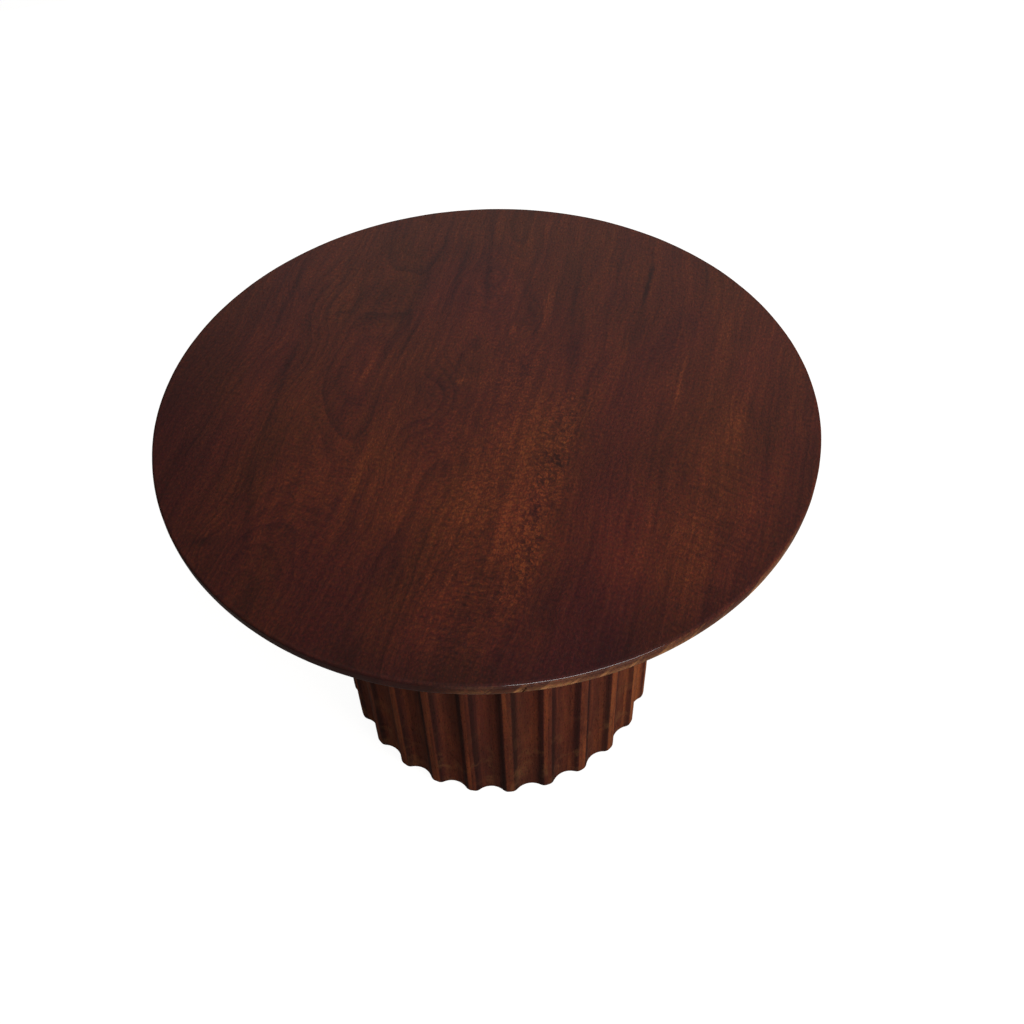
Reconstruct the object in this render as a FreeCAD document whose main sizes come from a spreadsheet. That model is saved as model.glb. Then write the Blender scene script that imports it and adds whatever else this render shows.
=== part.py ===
import FreeCAD, Part
import math
import os
import Sketcher

# Round pedestal table: a thin round top of edge-glued boards on a drum of fluted staves.
#
# Frame: millimetres, +Z up, origin on the floor under the middle of the drum.
# The boards of the top run along Y.

os.makedirs("parts", exist_ok=True)
doc = FreeCAD.newDocument("PedestalTable")

SIZES = {
    # The whole table
    "table_height": 560.0,
    "foot_clearance": 2.0,
    "cut_overrun": 5.0,
    "edge_nearness": 0.01,
    # Table top
    "top_radius": 400.0,
    "top_thickness": 18.0,
    "top_upper_rounding": 3.5,
    "top_lower_rounding": 6.0,
    # Staves of the drum
    "stave_count": 26,
    "first_joint_angle": -3.0,
    "ridge_radius": 228.0,
    "ridge_width": 15.0,
    "ridge_corner_rounding": 3.5,
    "flute_depth": 10.0,
    "stave_thickness": 25.0,
    "foot_chamfer": 1.5,
    # Splines in the side joints of the staves
    "spline_thickness": 4.0,
    "spline_width": 15.0,
    "spline_end_margin": 25.0,
    "spline_side_gap": 0.1,
    "spline_edge_gap": 0.5,
    # Rebates at both ends of the drum, for the plate and for the ring
    "rebate_width": 8.0,
    "rebate_gap": 0.15,
    # Plate that carries the top
    "plate_thickness": 18.0,
    # Ring at the foot of the drum
    "ring_segment_count": 8,
    "ring_first_angle": 22.5,
    "ring_width": 45.0,
    "ring_height": 30.0,
    # Dowels across the seams of the top
    "dowel_radius": 4.0,
    "dowel_length": 40.0,
    "dowel_chamfer": 1.0,
    "dowel_side_gap": 0.1,
    "dowel_end_gap": 1.0,
    # Bolts, washers and threaded inserts that hold the top
    "bolt_count": 8,
    "bolt_first_angle": 22.5,
    "bolt_circle_inset": 38.0,
    "bolt_radius": 3.0,
    "bolt_length": 30.0,
    "bolt_across_flats": 10.0,
    "bolt_head_height": 4.0,
    "bolt_hole_radius": 4.0,
    "washer_radius": 9.0,
    "washer_thickness": 1.6,
    "washer_bore_gap": 0.2,
    "insert_radius": 5.0,
    "insert_length": 12.0,
    "insert_bore_gap": 0.1,
    "insert_side_gap": 0.1,
    "insert_end_gap": 1.0,
    # Glides under the ring
    "cup_radius": 14.0,
    "cup_thickness": 3.0,
    "cup_rounding": 0.8,
    "felt_radius": 13.0,
    "felt_thickness": 2.0,
    "glide_screw_radius": 1.75,
    "glide_screw_length": 18.0,
    "glide_head_radius": 3.6,
    "glide_head_height": 2.0,
    "glide_screw_gap": 0.15,
}

# Seams of the top, from left to right, as shares of its radius.
SEAM_SHARES = (-0.80, -0.54, -0.28, 0.0, 0.31, 0.58, 0.86)
# Dowels in one seam, as shares of half its length.
DOWEL_PLACE_SHARES = (-0.62, 0.0, 0.62)

UNDER_TOP = "(Sizes.table_height - Sizes.top_thickness)"
UNDER_PLATE = f"({UNDER_TOP} - Sizes.plate_thickness)"
GLIDE_HEIGHT = "(Sizes.felt_thickness + Sizes.cup_thickness)"
RING_TOP = f"({GLIDE_HEIGHT} + Sizes.ring_height)"
DRUM_INSIDE = "(Sizes.ridge_radius - Sizes.stave_thickness)"
REBATE_RADIUS = f"({DRUM_INSIDE} + Sizes.rebate_width)"
BOLT_CIRCLE = f"({DRUM_INSIDE} - Sizes.bolt_circle_inset)"
RING_OUTER = f"({REBATE_RADIUS} - Sizes.rebate_gap)"
RING_INNER = f"({RING_OUTER} - Sizes.ring_width)"
GLIDE_CIRCLE = f"(({RING_OUTER} + {RING_INNER}) / 2)"
HALF_PITCH = "(180 deg / Sizes.stave_count)"
FLUTE_HALF_ANGLE = f"({HALF_PITCH} - asin(Sizes.ridge_width / 2 / Sizes.ridge_radius))"
FLUTE_CORNER_X = f"(Sizes.ridge_radius * cos({FLUTE_HALF_ANGLE}))"
FLUTE_CORNER_Y = f"(Sizes.ridge_radius * sin({FLUTE_HALF_ANGLE}))"
FLUTE_BOTTOM = "(Sizes.ridge_radius - Sizes.flute_depth)"
FLUTE_SINK = f"({FLUTE_CORNER_X} - {FLUTE_BOTTOM})"
FLUTE_RADIUS = f"(({FLUTE_SINK} ^ 2 + {FLUTE_CORNER_Y} ^ 2) / (2 * {FLUTE_SINK}))"
FLUTE_CENTRE = f"({FLUTE_BOTTOM} + {FLUTE_RADIUS})"
SPLINE_RADIUS = "(Sizes.ridge_radius - Sizes.stave_thickness / 2)"
SPLINE_BOTTOM = f"({RING_TOP} + Sizes.spline_end_margin)"
SPLINE_TOP = f"({UNDER_PLATE} - Sizes.spline_end_margin)"

sheet = doc.addObject("Spreadsheet::Sheet", "Sizes")
for row, (alias, number) in enumerate(SIZES.items(), start=1):
    sheet.set(f"A{row}", alias)
    sheet.set(f"B{row}", str(number))
    sheet.setAlias(f"B{row}", alias)
for row, share in enumerate(SEAM_SHARES, start=1):
    sheet.set(f"C{row}", str(share))
    sheet.setAlias(f"C{row}", f"seam_share_{row}")
for row, share in enumerate(DOWEL_PLACE_SHARES, start=1):
    sheet.set(f"D{row}", str(share))
    sheet.setAlias(f"D{row}", f"dowel_share_{row}")
doc.recompute()

sub_parts = []


def value(expression):
    """The number that an expression of the sheet's sizes has now, angles in degrees."""
    result = sheet.evalExpression(expression)
    return float(getattr(result, "Value", result))


def bind(item, **expressions):
    """Bind properties to the sheet; a double underscore in a name stands for a dot."""
    for name, expression in expressions.items():
        item.setExpression(name.replace("__", "."), expression)
    return item


def place(item, x="0", y="0", z="0", angle=None):
    """Bind the place of an object, and its turn about Z if it has one."""
    item.Placement.Rotation = FreeCAD.Rotation(FreeCAD.Vector(0, 0, 1), 0)
    bind(item, Placement__Base__x=x, Placement__Base__y=y, Placement__Base__z=z)
    if angle is not None:
        bind(item, Placement__Rotation__Angle=angle)
    return item


def keep(item, label):
    """Take an object as one of the table's pieces, under its name."""
    item.Label = label
    sub_parts.append(item)
    return item


def cylinder(name, radius, height, **position):
    """An upright cylinder bound to the sheet."""
    item = doc.addObject("Part::Cylinder", name)
    bind(item, Radius=radius, Height=height)
    return place(item, **position)


def cone(name, lower_radius, upper_radius, height, **position):
    """An upright cone bound to the sheet."""
    item = doc.addObject("Part::Cone", name)
    bind(item, Radius1=lower_radius, Radius2=upper_radius, Height=height)
    return place(item, **position)


def cut(name, base, tool):
    """The base without the tool."""
    item = doc.addObject("Part::Cut", name)
    item.Base = base
    item.Tool = tool
    return item


def joined(name, shapes):
    """Several touching shapes made one solid."""
    item = doc.addObject("Part::MultiFuse", name)
    item.Shapes = shapes
    return item


def group(name, links):
    """Separate solids kept side by side in one object."""
    item = doc.addObject("Part::Compound", name)
    item.Links = links
    return item


def on_circle(radius, angle):
    """Expressions for the X and Y of a point on a circle about the table's axis."""
    return {"x": f"{radius} * cos({angle})", "y": f"{radius} * sin({angle})"}


def new_sketch(body, name, level="0"):
    """A level sketch at a height in a body."""
    sketch = body.newObject("Sketcher::SketchObject", name)
    level_plane = [item for item in body.Origin.OriginFeatures if item.Role == "XY_Plane"][0]
    sketch.AttachmentSupport = (level_plane, [""])
    sketch.MapMode = "FlatFace"
    sketch.setExpression("AttachmentOffset.Base.z", level)
    return sketch


def size_constraint(sketch, name, expression, kind, *references):
    """A sketch dimension that follows an expression of the sheet's sizes."""
    amount = value(expression)
    if kind == "Angle":
        amount = math.radians(amount)
    index = sketch.addConstraint(Sketcher.Constraint(kind, *references, amount))
    sketch.renameConstraint(index, name)
    sketch.setExpression(f"Constraints.{name}", expression)


def add_arc(sketch, centre, radius, start, end):
    """An arc in a sketch, counter-clockwise between two directions in radians."""
    circle = Part.Circle(centre, FreeCAD.Vector(0, 0, 1), radius)
    return sketch.addGeometry(Part.ArcOfCircle(circle, start, end))


def draw_circle(sketch, name, radius):
    """A circle about the table's axis."""
    circle = sketch.addGeometry(Part.Circle(FreeCAD.Vector(0, 0, 0), FreeCAD.Vector(0, 0, 1), value(radius)))
    sketch.addConstraint(Sketcher.Constraint("Coincident", circle, 3, -1, 1))
    size_constraint(sketch, f"{name}_radius", radius, "Radius", circle)


def draw_arc(sketch, name, radius, half_angle):
    """An arc about the table's axis, as far above the X axis as below it."""
    turn = math.radians(value(half_angle))
    arc = add_arc(sketch, FreeCAD.Vector(0, 0, 0), value(radius), -turn, turn)
    sketch.addConstraint(Sketcher.Constraint("Coincident", arc, 3, -1, 1))
    size_constraint(sketch, f"{name}_radius", radius, "Radius", arc)
    return arc


def wedge_sides(sketch, inner_low, inner_high, outer_low, outer_high, inside, low_end, high_end):
    """Two radial sides that close a wedge about the X axis, mirror images of each other."""
    low_side = sketch.addGeometry(Part.LineSegment(inner_low, outer_low))
    high_side = sketch.addGeometry(Part.LineSegment(inner_high, outer_high))
    for side, end, (outside, outside_end) in ((low_side, 1, low_end), (high_side, 2, high_end)):
        sketch.addConstraint(Sketcher.Constraint("Coincident", side, 1, inside, end))
        sketch.addConstraint(Sketcher.Constraint("Coincident", side, 2, outside, outside_end))
        sketch.addConstraint(Sketcher.Constraint("PointOnObject", -1, 1, side))
    sketch.addConstraint(Sketcher.Constraint("Symmetric", inside, 1, inside, 2, -1))
    return high_side


def polar(radius, angle):
    """The point of a circle about the table's axis, in a direction in radians."""
    return FreeCAD.Vector(radius * math.cos(angle), radius * math.sin(angle), 0)


def draw_flat_inside(sketch, reach, turn):
    """The straight inner side of a wedge about the X axis, and its two ends."""
    low = FreeCAD.Vector(value(reach), -value(reach) * math.tan(turn), 0)
    high = FreeCAD.Vector(low.x, -low.y, 0)
    return sketch.addGeometry(Part.LineSegment(low, high)), low, high


def draw_ring_segment(sketch, outer_radius, inner_reach, half_angle):
    """A piece of a ring about the X axis, round outside and straight inside."""
    turn, outer = math.radians(value(half_angle)), value(outer_radius)
    outside = draw_arc(sketch, "outside", outer_radius, half_angle)
    inside, low, high = draw_flat_inside(sketch, inner_reach, turn)
    side = wedge_sides(sketch, low, high, polar(outer, -turn), polar(outer, turn),
                       inside, (outside, 1), (outside, 2))
    size_constraint(sketch, "inside_reach", inner_reach, "DistanceX", -1, 1, inside, 1)
    size_constraint(sketch, "half_angle", half_angle, "Angle", side)


def draw_stave_section(sketch):
    """A stave's section: flat inside, radial sides, and one flute with rounded corners."""
    turn = math.radians(value(HALF_PITCH))
    ridge, flute, centre_x = value("Sizes.ridge_radius"), value(FLUTE_RADIUS), value(FLUTE_CENTRE)
    corner = value("Sizes.ridge_corner_rounding")
    from_axis, from_flute = ridge - corner, flute + corner
    corner_x = (from_axis ** 2 - from_flute ** 2 + centre_x ** 2) / (2 * centre_x)
    corner_y = math.sqrt(from_axis ** 2 - corner_x ** 2)
    origin, centre = FreeCAD.Vector(0, 0, 0), FreeCAD.Vector(centre_x, 0, 0)
    high_corner, low_corner = FreeCAD.Vector(corner_x, corner_y, 0), FreeCAD.Vector(corner_x, -corner_y, 0)
    on_ridge = math.atan2(corner_y, corner_x)
    on_flute = math.atan2(corner_y, corner_x - centre_x)
    to_flute = math.atan2(-corner_y, centre_x - corner_x)

    ridge_high = add_arc(sketch, origin, ridge, on_ridge, turn)
    round_high = add_arc(sketch, high_corner, corner, to_flute, on_ridge)
    hollow = add_arc(sketch, centre, flute, on_flute, 2 * math.pi - on_flute)
    round_low = add_arc(sketch, low_corner, corner, -on_ridge, -to_flute)
    ridge_low = add_arc(sketch, origin, ridge, -turn, -on_ridge)
    flat, inner_low, inner_high = draw_flat_inside(sketch, DRUM_INSIDE, turn)
    side = wedge_sides(sketch, inner_low, inner_high, polar(ridge, -turn), polar(ridge, turn),
                       flat, (ridge_low, 1), (ridge_high, 2))

    for arc in (ridge_high, ridge_low):
        sketch.addConstraint(Sketcher.Constraint("Coincident", arc, 3, -1, 1))
    sketch.addConstraint(Sketcher.Constraint("PointOnObject", hollow, 3, -1))
    for first, first_end, second, second_end in ((ridge_high, 1, round_high, 2), (round_high, 1, hollow, 1),
                                                 (hollow, 2, round_low, 2), (round_low, 1, ridge_low, 2)):
        sketch.addConstraint(Sketcher.Constraint("Tangent", first, first_end, second, second_end))
    sketch.addConstraint(Sketcher.Constraint("Equal", ridge_high, ridge_low))
    sketch.addConstraint(Sketcher.Constraint("Equal", round_high, round_low))
    size_constraint(sketch, "ridge_size", "Sizes.ridge_radius", "Radius", ridge_high)
    size_constraint(sketch, "corner_size", "Sizes.ridge_corner_rounding", "Radius", round_high)
    size_constraint(sketch, "flute_size", FLUTE_RADIUS, "Radius", hollow)
    size_constraint(sketch, "flute_place", FLUTE_CENTRE, "DistanceX", -1, 1, hollow, 3)
    size_constraint(sketch, "inside_reach", DRUM_INSIDE, "DistanceX", -1, 1, flat, 1)
    size_constraint(sketch, "half_angle", HALF_PITCH, "Angle", side)


def pad(body, name, sketch, length):
    """Raise a sketch into a solid."""
    feature = body.newObject("PartDesign::Pad", name)
    feature.Profile = sketch
    feature.setExpression("Length", length)
    sketch.Visibility = False
    return feature


def pocket(body, name, sketch, depth=None, upwards=False):
    """Cut a sketch out of a solid, down or up by a depth, or right through it upwards."""
    feature = body.newObject("PartDesign::Pocket", name)
    feature.Profile = sketch
    feature.Reversed = upwards
    if depth is None:
        feature.Type = "ThroughAll"
    else:
        feature.setExpression("Length", depth)
    sketch.Visibility = False
    return feature


def edge_names(feature, wanted):
    """The names of a feature's edges that pass a test."""
    doc.recompute()
    return [f"Edge{number}" for number, edge in enumerate(feature.Shape.Edges, start=1) if wanted(edge)]


def dress(body, kind, name, base, wanted, **sizes):
    """A fillet or chamfer on the edges that pass a test."""
    edges = edge_names(base, wanted)
    if not edges:
        raise RuntimeError(f"{name} of {body.Label} found no edge")
    feature = body.newObject(f"PartDesign::{kind}", name)
    feature.Base = (base, edges)
    bind(feature, **sizes)
    return feature


# Table top: one round disc, sawn into boards along the seams.

def make_disc():
    """The whole round top with its rounded rim."""
    body = doc.addObject("PartDesign::Body", "top_disc")
    outline = new_sketch(body, "top_outline", UNDER_TOP)
    draw_circle(outline, "rim", "Sizes.top_radius")
    slab = pad(body, "top_slab", outline, "Sizes.top_thickness")
    upper, lower = value("Sizes.table_height"), value(UNDER_TOP)
    rounded = dress(body, "Fillet", "top_upper_edge", slab,
                    lambda edge: is_level_at(edge, upper), Radius="Sizes.top_upper_rounding")
    dress(body, "Fillet", "top_lower_edge", rounded,
          lambda edge: is_level_at(edge, lower), Radius="Sizes.top_lower_rounding")
    return body


def is_level_at(edge, level):
    """Whether an edge lies flat at a height."""
    box = edge.BoundBox
    nearness = value("Sizes.edge_nearness")
    return abs(box.ZMin - level) < nearness and abs(box.ZMax - level) < nearness


def seam_x(number):
    """The X of a seam, where the first and the last stand outside the top."""
    if number == 0:
        return "(-Sizes.top_radius - Sizes.cut_overrun)"
    if number > len(SEAM_SHARES):
        return "(Sizes.top_radius + Sizes.cut_overrun)"
    return f"(Sizes.seam_share_{number} * Sizes.top_radius)"


def make_dowel(name, radius, length, seam, spot, chamfered):
    """A dowel, or the hole for one, across a seam at half the top's thickness."""
    body = doc.addObject("Part::Cylinder", name)
    bind(body, Radius=radius, Height=length)
    half_seam = f"(Sizes.top_radius * sqrt(1 - Sizes.seam_share_{seam} ^ 2))"
    across = {
        "Placement__Base__x": f"{seam_x(seam)} - {length} / 2",
        "Placement__Base__y": f"Sizes.dowel_share_{spot} * {half_seam}",
        "Placement__Base__z": "Sizes.table_height - Sizes.top_thickness / 2",
    }
    if not chamfered:
        body.Placement.Rotation = FreeCAD.Rotation(FreeCAD.Vector(0, 1, 0), 90)
        return bind(body, **across)
    doc.recompute()
    ends = doc.addObject("Part::Chamfer", f"{name}_chamfered")
    ends.Base = body
    size = value("Sizes.dowel_chamfer")
    rounds = [number for number, edge in enumerate(body.Shape.Edges, start=1)
              if edge.Curve.TypeId == "Part::GeomCircle"]
    ends.Edges = [(number, size, size) for number in rounds]
    ends.Placement.Rotation = FreeCAD.Rotation(FreeCAD.Vector(0, 1, 0), 90)
    return bind(ends, **across)


def make_top():
    """The boards of the top, with holes for the dowels and the threaded inserts."""
    disc = make_disc()
    seams = range(1, len(SEAM_SHARES) + 1)
    spots = range(1, len(DOWEL_PLACE_SHARES) + 1)
    hole_radius = "(Sizes.dowel_radius + Sizes.dowel_side_gap)"
    hole_length = "(Sizes.dowel_length + 2 * Sizes.dowel_end_gap)"
    dowel_holes = {
        seam: [make_dowel(f"dowel_hole_{seam}_{spot}", hole_radius, hole_length, seam, spot, False)
               for spot in spots]
        for seam in seams
    }
    insert_holes = [
        cylinder(f"insert_hole_{number}", "Sizes.insert_radius + Sizes.insert_side_gap",
                 "Sizes.insert_length + Sizes.insert_end_gap + Sizes.cut_overrun",
                 z=f"{UNDER_TOP} - Sizes.cut_overrun", **bolt_spot(number))
        for number in range(int(value("Sizes.bolt_count")))
    ]
    for number in range(1, len(SEAM_SHARES) + 2):
        left, right = seam_x(number - 1), seam_x(number)
        block = doc.addObject("Part::Box", f"board_block_{number}")
        bind(block, Length=f"{right} - {left}", Width="2 * (Sizes.top_radius + Sizes.cut_overrun)",
             Height="Sizes.top_thickness + 2 * Sizes.cut_overrun")
        place(block, x=left, y="-Sizes.top_radius - Sizes.cut_overrun",
              z=f"{UNDER_TOP} - Sizes.cut_overrun")
        board = doc.addObject("Part::Common", f"board_blank_{number}")
        board.Base = block
        board.Tool = disc
        holes = dowel_holes.get(number - 1, []) + dowel_holes.get(number, []) + insert_holes
        drilled = cut(f"board_{number}", board, group(f"board_holes_{number}", holes))
        keep(drilled, f"top_board_{number}")
    dowels = [make_dowel(f"dowel_{seam}_{spot}", "Sizes.dowel_radius", "Sizes.dowel_length",
                         seam, spot, True) for seam in seams for spot in spots]
    keep(group("dowels", dowels), "top_dowels")


# Drum: staves with one flute each, glued side to side in the middle of the ridges.

def make_stave(number):
    """One stave, made about the X axis and turned to its place in the drum."""
    body = doc.addObject("PartDesign::Body", f"stave_body_{number:02d}")
    section = new_sketch(body, f"stave_section_{number:02d}", "Sizes.foot_clearance")
    draw_stave_section(section)
    pad(body, f"stave_blank_{number:02d}", section, f"{UNDER_TOP} - Sizes.foot_clearance")

    upper = new_sketch(body, f"plate_rebate_section_{number:02d}", UNDER_TOP)
    draw_circle(upper, "plate_rebate", REBATE_RADIUS)
    pocket(body, f"plate_rebate_{number:02d}", upper, "Sizes.plate_thickness")
    lower = new_sketch(body, f"ring_rebate_section_{number:02d}", "Sizes.foot_clearance")
    draw_circle(lower, "ring_rebate", REBATE_RADIUS)
    pocket(body, f"ring_rebate_{number:02d}", lower,
           f"{RING_TOP} - Sizes.foot_clearance", upwards=True)

    thickness = "(Sizes.spline_thickness + 2 * Sizes.spline_side_gap)"
    depth = "(Sizes.spline_width / 2 + Sizes.spline_edge_gap)"
    near = f"({SPLINE_RADIUS} - {thickness} / 2)"
    sides = (("left", HALF_PITCH, depth), ("right", f"-{HALF_PITCH}", "Sizes.cut_overrun"))
    for side, angle, offset in sides:
        groove = body.newObject("PartDesign::SubtractiveBox", f"{side}_groove_{number:02d}")
        bind(groove, Length=thickness, Width=f"{depth} + Sizes.cut_overrun",
             Height=f"{SPLINE_TOP} - {SPLINE_BOTTOM}")
        place(groove, x=f"{near} * cos({angle}) + {offset} * sin({angle})",
              y=f"{near} * sin({angle}) - {offset} * cos({angle})", z=SPLINE_BOTTOM, angle=angle)

    foot, mid_wall = value("Sizes.foot_clearance"), value(SPLINE_RADIUS)

    def is_outer_foot_edge(edge):
        spot = edge.CenterOfMass
        is_outside = math.hypot(spot.x, spot.y) > mid_wall and edge.Curve.TypeId != "Part::GeomLine"
        return is_outside and is_level_at(edge, foot)

    dress(body, "Chamfer", f"foot_edge_{number:02d}", groove, is_outer_foot_edge, Size="Sizes.foot_chamfer")
    turn = f"Sizes.first_joint_angle * 1 deg + (2 * {number} - 1) * {HALF_PITCH}"
    place(body, angle=turn)
    keep(body, f"stave_{number:02d}")


def make_splines():
    """A thin strip in each side joint of the staves."""
    strips = []
    for number in range(int(value("Sizes.stave_count"))):
        angle = f"(Sizes.first_joint_angle * 1 deg + 2 * {number} * {HALF_PITCH})"
        near = f"({SPLINE_RADIUS} - Sizes.spline_thickness / 2)"
        half_width = "(Sizes.spline_width / 2)"
        strip = doc.addObject("Part::Box", f"spline_{number + 1}")
        bind(strip, Length="Sizes.spline_thickness", Width="Sizes.spline_width",
             Height=f"{SPLINE_TOP} - {SPLINE_BOTTOM}")
        place(strip, x=f"{near} * cos({angle}) + {half_width} * sin({angle})",
              y=f"{near} * sin({angle}) - {half_width} * cos({angle})", z=SPLINE_BOTTOM, angle=angle)
        strips.append(strip)
    keep(group("splines", strips), "stave_splines")


# Inside the drum: the plate that carries the top, its bolts, and the ring at the foot.

def bolt_spot(number):
    """Where a bolt stands on its circle."""
    angle = f"(Sizes.bolt_first_angle * 1 deg + {number} * 360 deg / Sizes.bolt_count)"
    return on_circle(BOLT_CIRCLE, angle)


def make_plate():
    """The round plate let into the top of the staves, with wide holes for the bolts."""
    body = doc.addObject("PartDesign::Body", "plate_body")
    outline = new_sketch(body, "plate_outline", UNDER_PLATE)
    draw_circle(outline, "plate", f"{REBATE_RADIUS} - Sizes.rebate_gap")
    pad(body, "plate_blank", outline, "Sizes.plate_thickness")
    for number in range(int(value("Sizes.bolt_count"))):
        hole = body.newObject("PartDesign::SubtractiveCylinder", f"bolt_hole_{number + 1}")
        bind(hole, Radius="Sizes.bolt_hole_radius", Height="Sizes.plate_thickness + 2 * Sizes.cut_overrun")
        place(hole, z=f"{UNDER_PLATE} - Sizes.cut_overrun", **bolt_spot(number))
    keep(body, "upper_plate")


def make_bolt(number):
    """A hexagon bolt, head down."""
    seat = f"({UNDER_PLATE} - Sizes.washer_thickness)"
    head = doc.addObject("Part::Prism", f"bolt_head_{number}")
    head.Polygon = 6
    bind(head, Circumradius="Sizes.bolt_across_flats / 2 / cos(30)", Height="Sizes.bolt_head_height")
    place(head, z=f"{seat} - Sizes.bolt_head_height")
    shank = cylinder(f"bolt_shank_{number}", "Sizes.bolt_radius",
                     "Sizes.bolt_length + Sizes.bolt_head_height", z=f"{seat} - Sizes.bolt_head_height")
    return place(joined(f"bolt_{number}", [head, shank]), **bolt_spot(number))


def make_sleeve(name, radius, bore, height, level, number):
    """A short tube on the bolt circle: a washer or a threaded insert."""
    outside = cylinder(f"{name}_outside_{number}", radius, height, z=level)
    inside = cylinder(f"{name}_bore_{number}", bore, f"{height} + 2 * Sizes.cut_overrun",
                      z=f"{level} - Sizes.cut_overrun")
    return place(cut(f"{name}_{number}", outside, inside), **bolt_spot(number))


def make_top_fasteners():
    """Bolts and washers under the plate, and inserts in the top."""
    numbers = range(int(value("Sizes.bolt_count")))
    keep(group("bolts", [make_bolt(number) for number in numbers]), "top_bolts")
    washers = [make_sleeve("washer", "Sizes.washer_radius", "Sizes.bolt_radius + Sizes.washer_bore_gap",
                           "Sizes.washer_thickness", f"{UNDER_PLATE} - Sizes.washer_thickness", number)
               for number in numbers]
    keep(group("washers", washers), "top_washers")
    inserts = [make_sleeve("insert", "Sizes.insert_radius", "Sizes.bolt_radius + Sizes.insert_bore_gap",
                           "Sizes.insert_length", UNDER_TOP, number) for number in numbers]
    keep(group("inserts", inserts), "threaded_inserts")


def segment_angle(number):
    """The direction of the middle of a ring segment."""
    return f"(Sizes.ring_first_angle * 1 deg + {number} * 360 deg / Sizes.ring_segment_count)"


def make_ring_segment(number):
    """One segment of the foot ring, with the hole for its glide's screw."""
    body = doc.addObject("PartDesign::Body", f"segment_body_{number + 1}")
    section = new_sketch(body, f"segment_section_{number + 1}", GLIDE_HEIGHT)
    draw_ring_segment(section, RING_OUTER, RING_INNER, "(180 deg / Sizes.ring_segment_count)")
    pad(body, f"segment_blank_{number + 1}", section, "Sizes.ring_height")
    hole = body.newObject("PartDesign::SubtractiveCylinder", f"glide_screw_hole_{number + 1}")
    bind(hole, Radius="Sizes.glide_screw_radius + Sizes.glide_screw_gap",
         Height="Sizes.glide_screw_length - Sizes.cup_thickness + Sizes.glide_screw_gap + Sizes.cut_overrun")
    place(hole, x=GLIDE_CIRCLE, z=f"{GLIDE_HEIGHT} - Sizes.cut_overrun")
    place(body, angle=segment_angle(number))
    keep(body, f"ring_segment_{number + 1}")


def make_cup(number):
    """The hard disc of a glide, with a countersunk hole for its screw."""
    gap = "Sizes.glide_screw_gap"
    disc = cylinder(f"cup_disc_{number}", "Sizes.cup_radius", "Sizes.cup_thickness", z="Sizes.felt_thickness")
    doc.recompute()
    rounded = doc.addObject("Part::Fillet", f"cup_rounded_{number}")
    rounded.Base = disc
    size, low = value("Sizes.cup_rounding"), value("Sizes.felt_thickness")
    rounded.Edges = [(index, size, size) for index, edge in enumerate(disc.Shape.Edges, start=1)
                     if is_level_at(edge, low)]
    bore = cylinder(f"cup_bore_{number}", f"Sizes.glide_screw_radius + {gap}",
                    "Sizes.cup_thickness + 2 * Sizes.cut_overrun",
                    z="Sizes.felt_thickness - Sizes.cut_overrun")
    sink = cone(f"cup_sink_{number}", f"Sizes.glide_head_radius + {gap}", f"Sizes.glide_screw_radius + {gap}",
                "Sizes.glide_head_height", z="Sizes.felt_thickness")
    spot = on_circle(GLIDE_CIRCLE, segment_angle(number))
    return place(cut(f"cup_{number}", rounded, joined(f"cup_cutter_{number}", [bore, sink])), **spot)


def make_glide_screw(number):
    """A countersunk screw, head down."""
    head = cone(f"glide_head_{number}", "Sizes.glide_head_radius", "Sizes.glide_screw_radius",
                "Sizes.glide_head_height", z="Sizes.felt_thickness")
    shank = cylinder(f"glide_shank_{number}", "Sizes.glide_screw_radius", "Sizes.glide_screw_length",
                     z="Sizes.felt_thickness")
    spot = on_circle(GLIDE_CIRCLE, segment_angle(number))
    return place(joined(f"glide_screw_{number}", [head, shank]), **spot)


def make_glides():
    """The felt glides that the table stands on."""
    numbers = range(int(value("Sizes.ring_segment_count")))
    keep(group("cups", [make_cup(number) for number in numbers]), "glide_cups")
    keep(group("screws", [make_glide_screw(number) for number in numbers]), "glide_screws")
    felts = [cylinder(f"felt_{number}", "Sizes.felt_radius", "Sizes.felt_thickness",
                      **on_circle(GLIDE_CIRCLE, segment_angle(number))) for number in numbers]
    keep(group("felts", felts), "glide_felts")


make_top()
for stave_number in range(1, int(value("Sizes.stave_count")) + 1):
    make_stave(stave_number)
make_splines()
make_plate()
make_top_fasteners()
for segment_number in range(int(value("Sizes.ring_segment_count"))):
    make_ring_segment(segment_number)
make_glides()
doc.recompute()

for item in doc.Objects:
    if item.TypeId == "Sketcher::SketchObject" and not item.FullyConstrained:
        raise RuntimeError(f"{item.Name} is not fully constrained")
    if "Invalid" in item.State or "Error" in item.State:
        raise RuntimeError(f"{item.Name} did not build: {item.State}")
    if item.TypeId.startswith(("PartDesign::Pocket", "PartDesign::Subtractive")):
        if item.Shape.Volume >= item.BaseFeature.Shape.Volume:
            raise RuntimeError(f"{item.Name} cuts nothing")
for part in sub_parts:
    if part.Shape.isNull() or not part.Shape.isValid():
        raise RuntimeError(f"{part.Label} is not a valid solid")
    part.Shape.exportStep(f"parts/{part.Label}.step")
print(len(sub_parts), "pieces written")
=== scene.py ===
"""A round pedestal table: a thin top of eight glued boards on a drum of twenty-six fluted staves.

Everything is in metres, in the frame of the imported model: Z is up, the floor is at zero, the
middle of the drum is on the Z axis and the boards of the top run along Y.
"""

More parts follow.
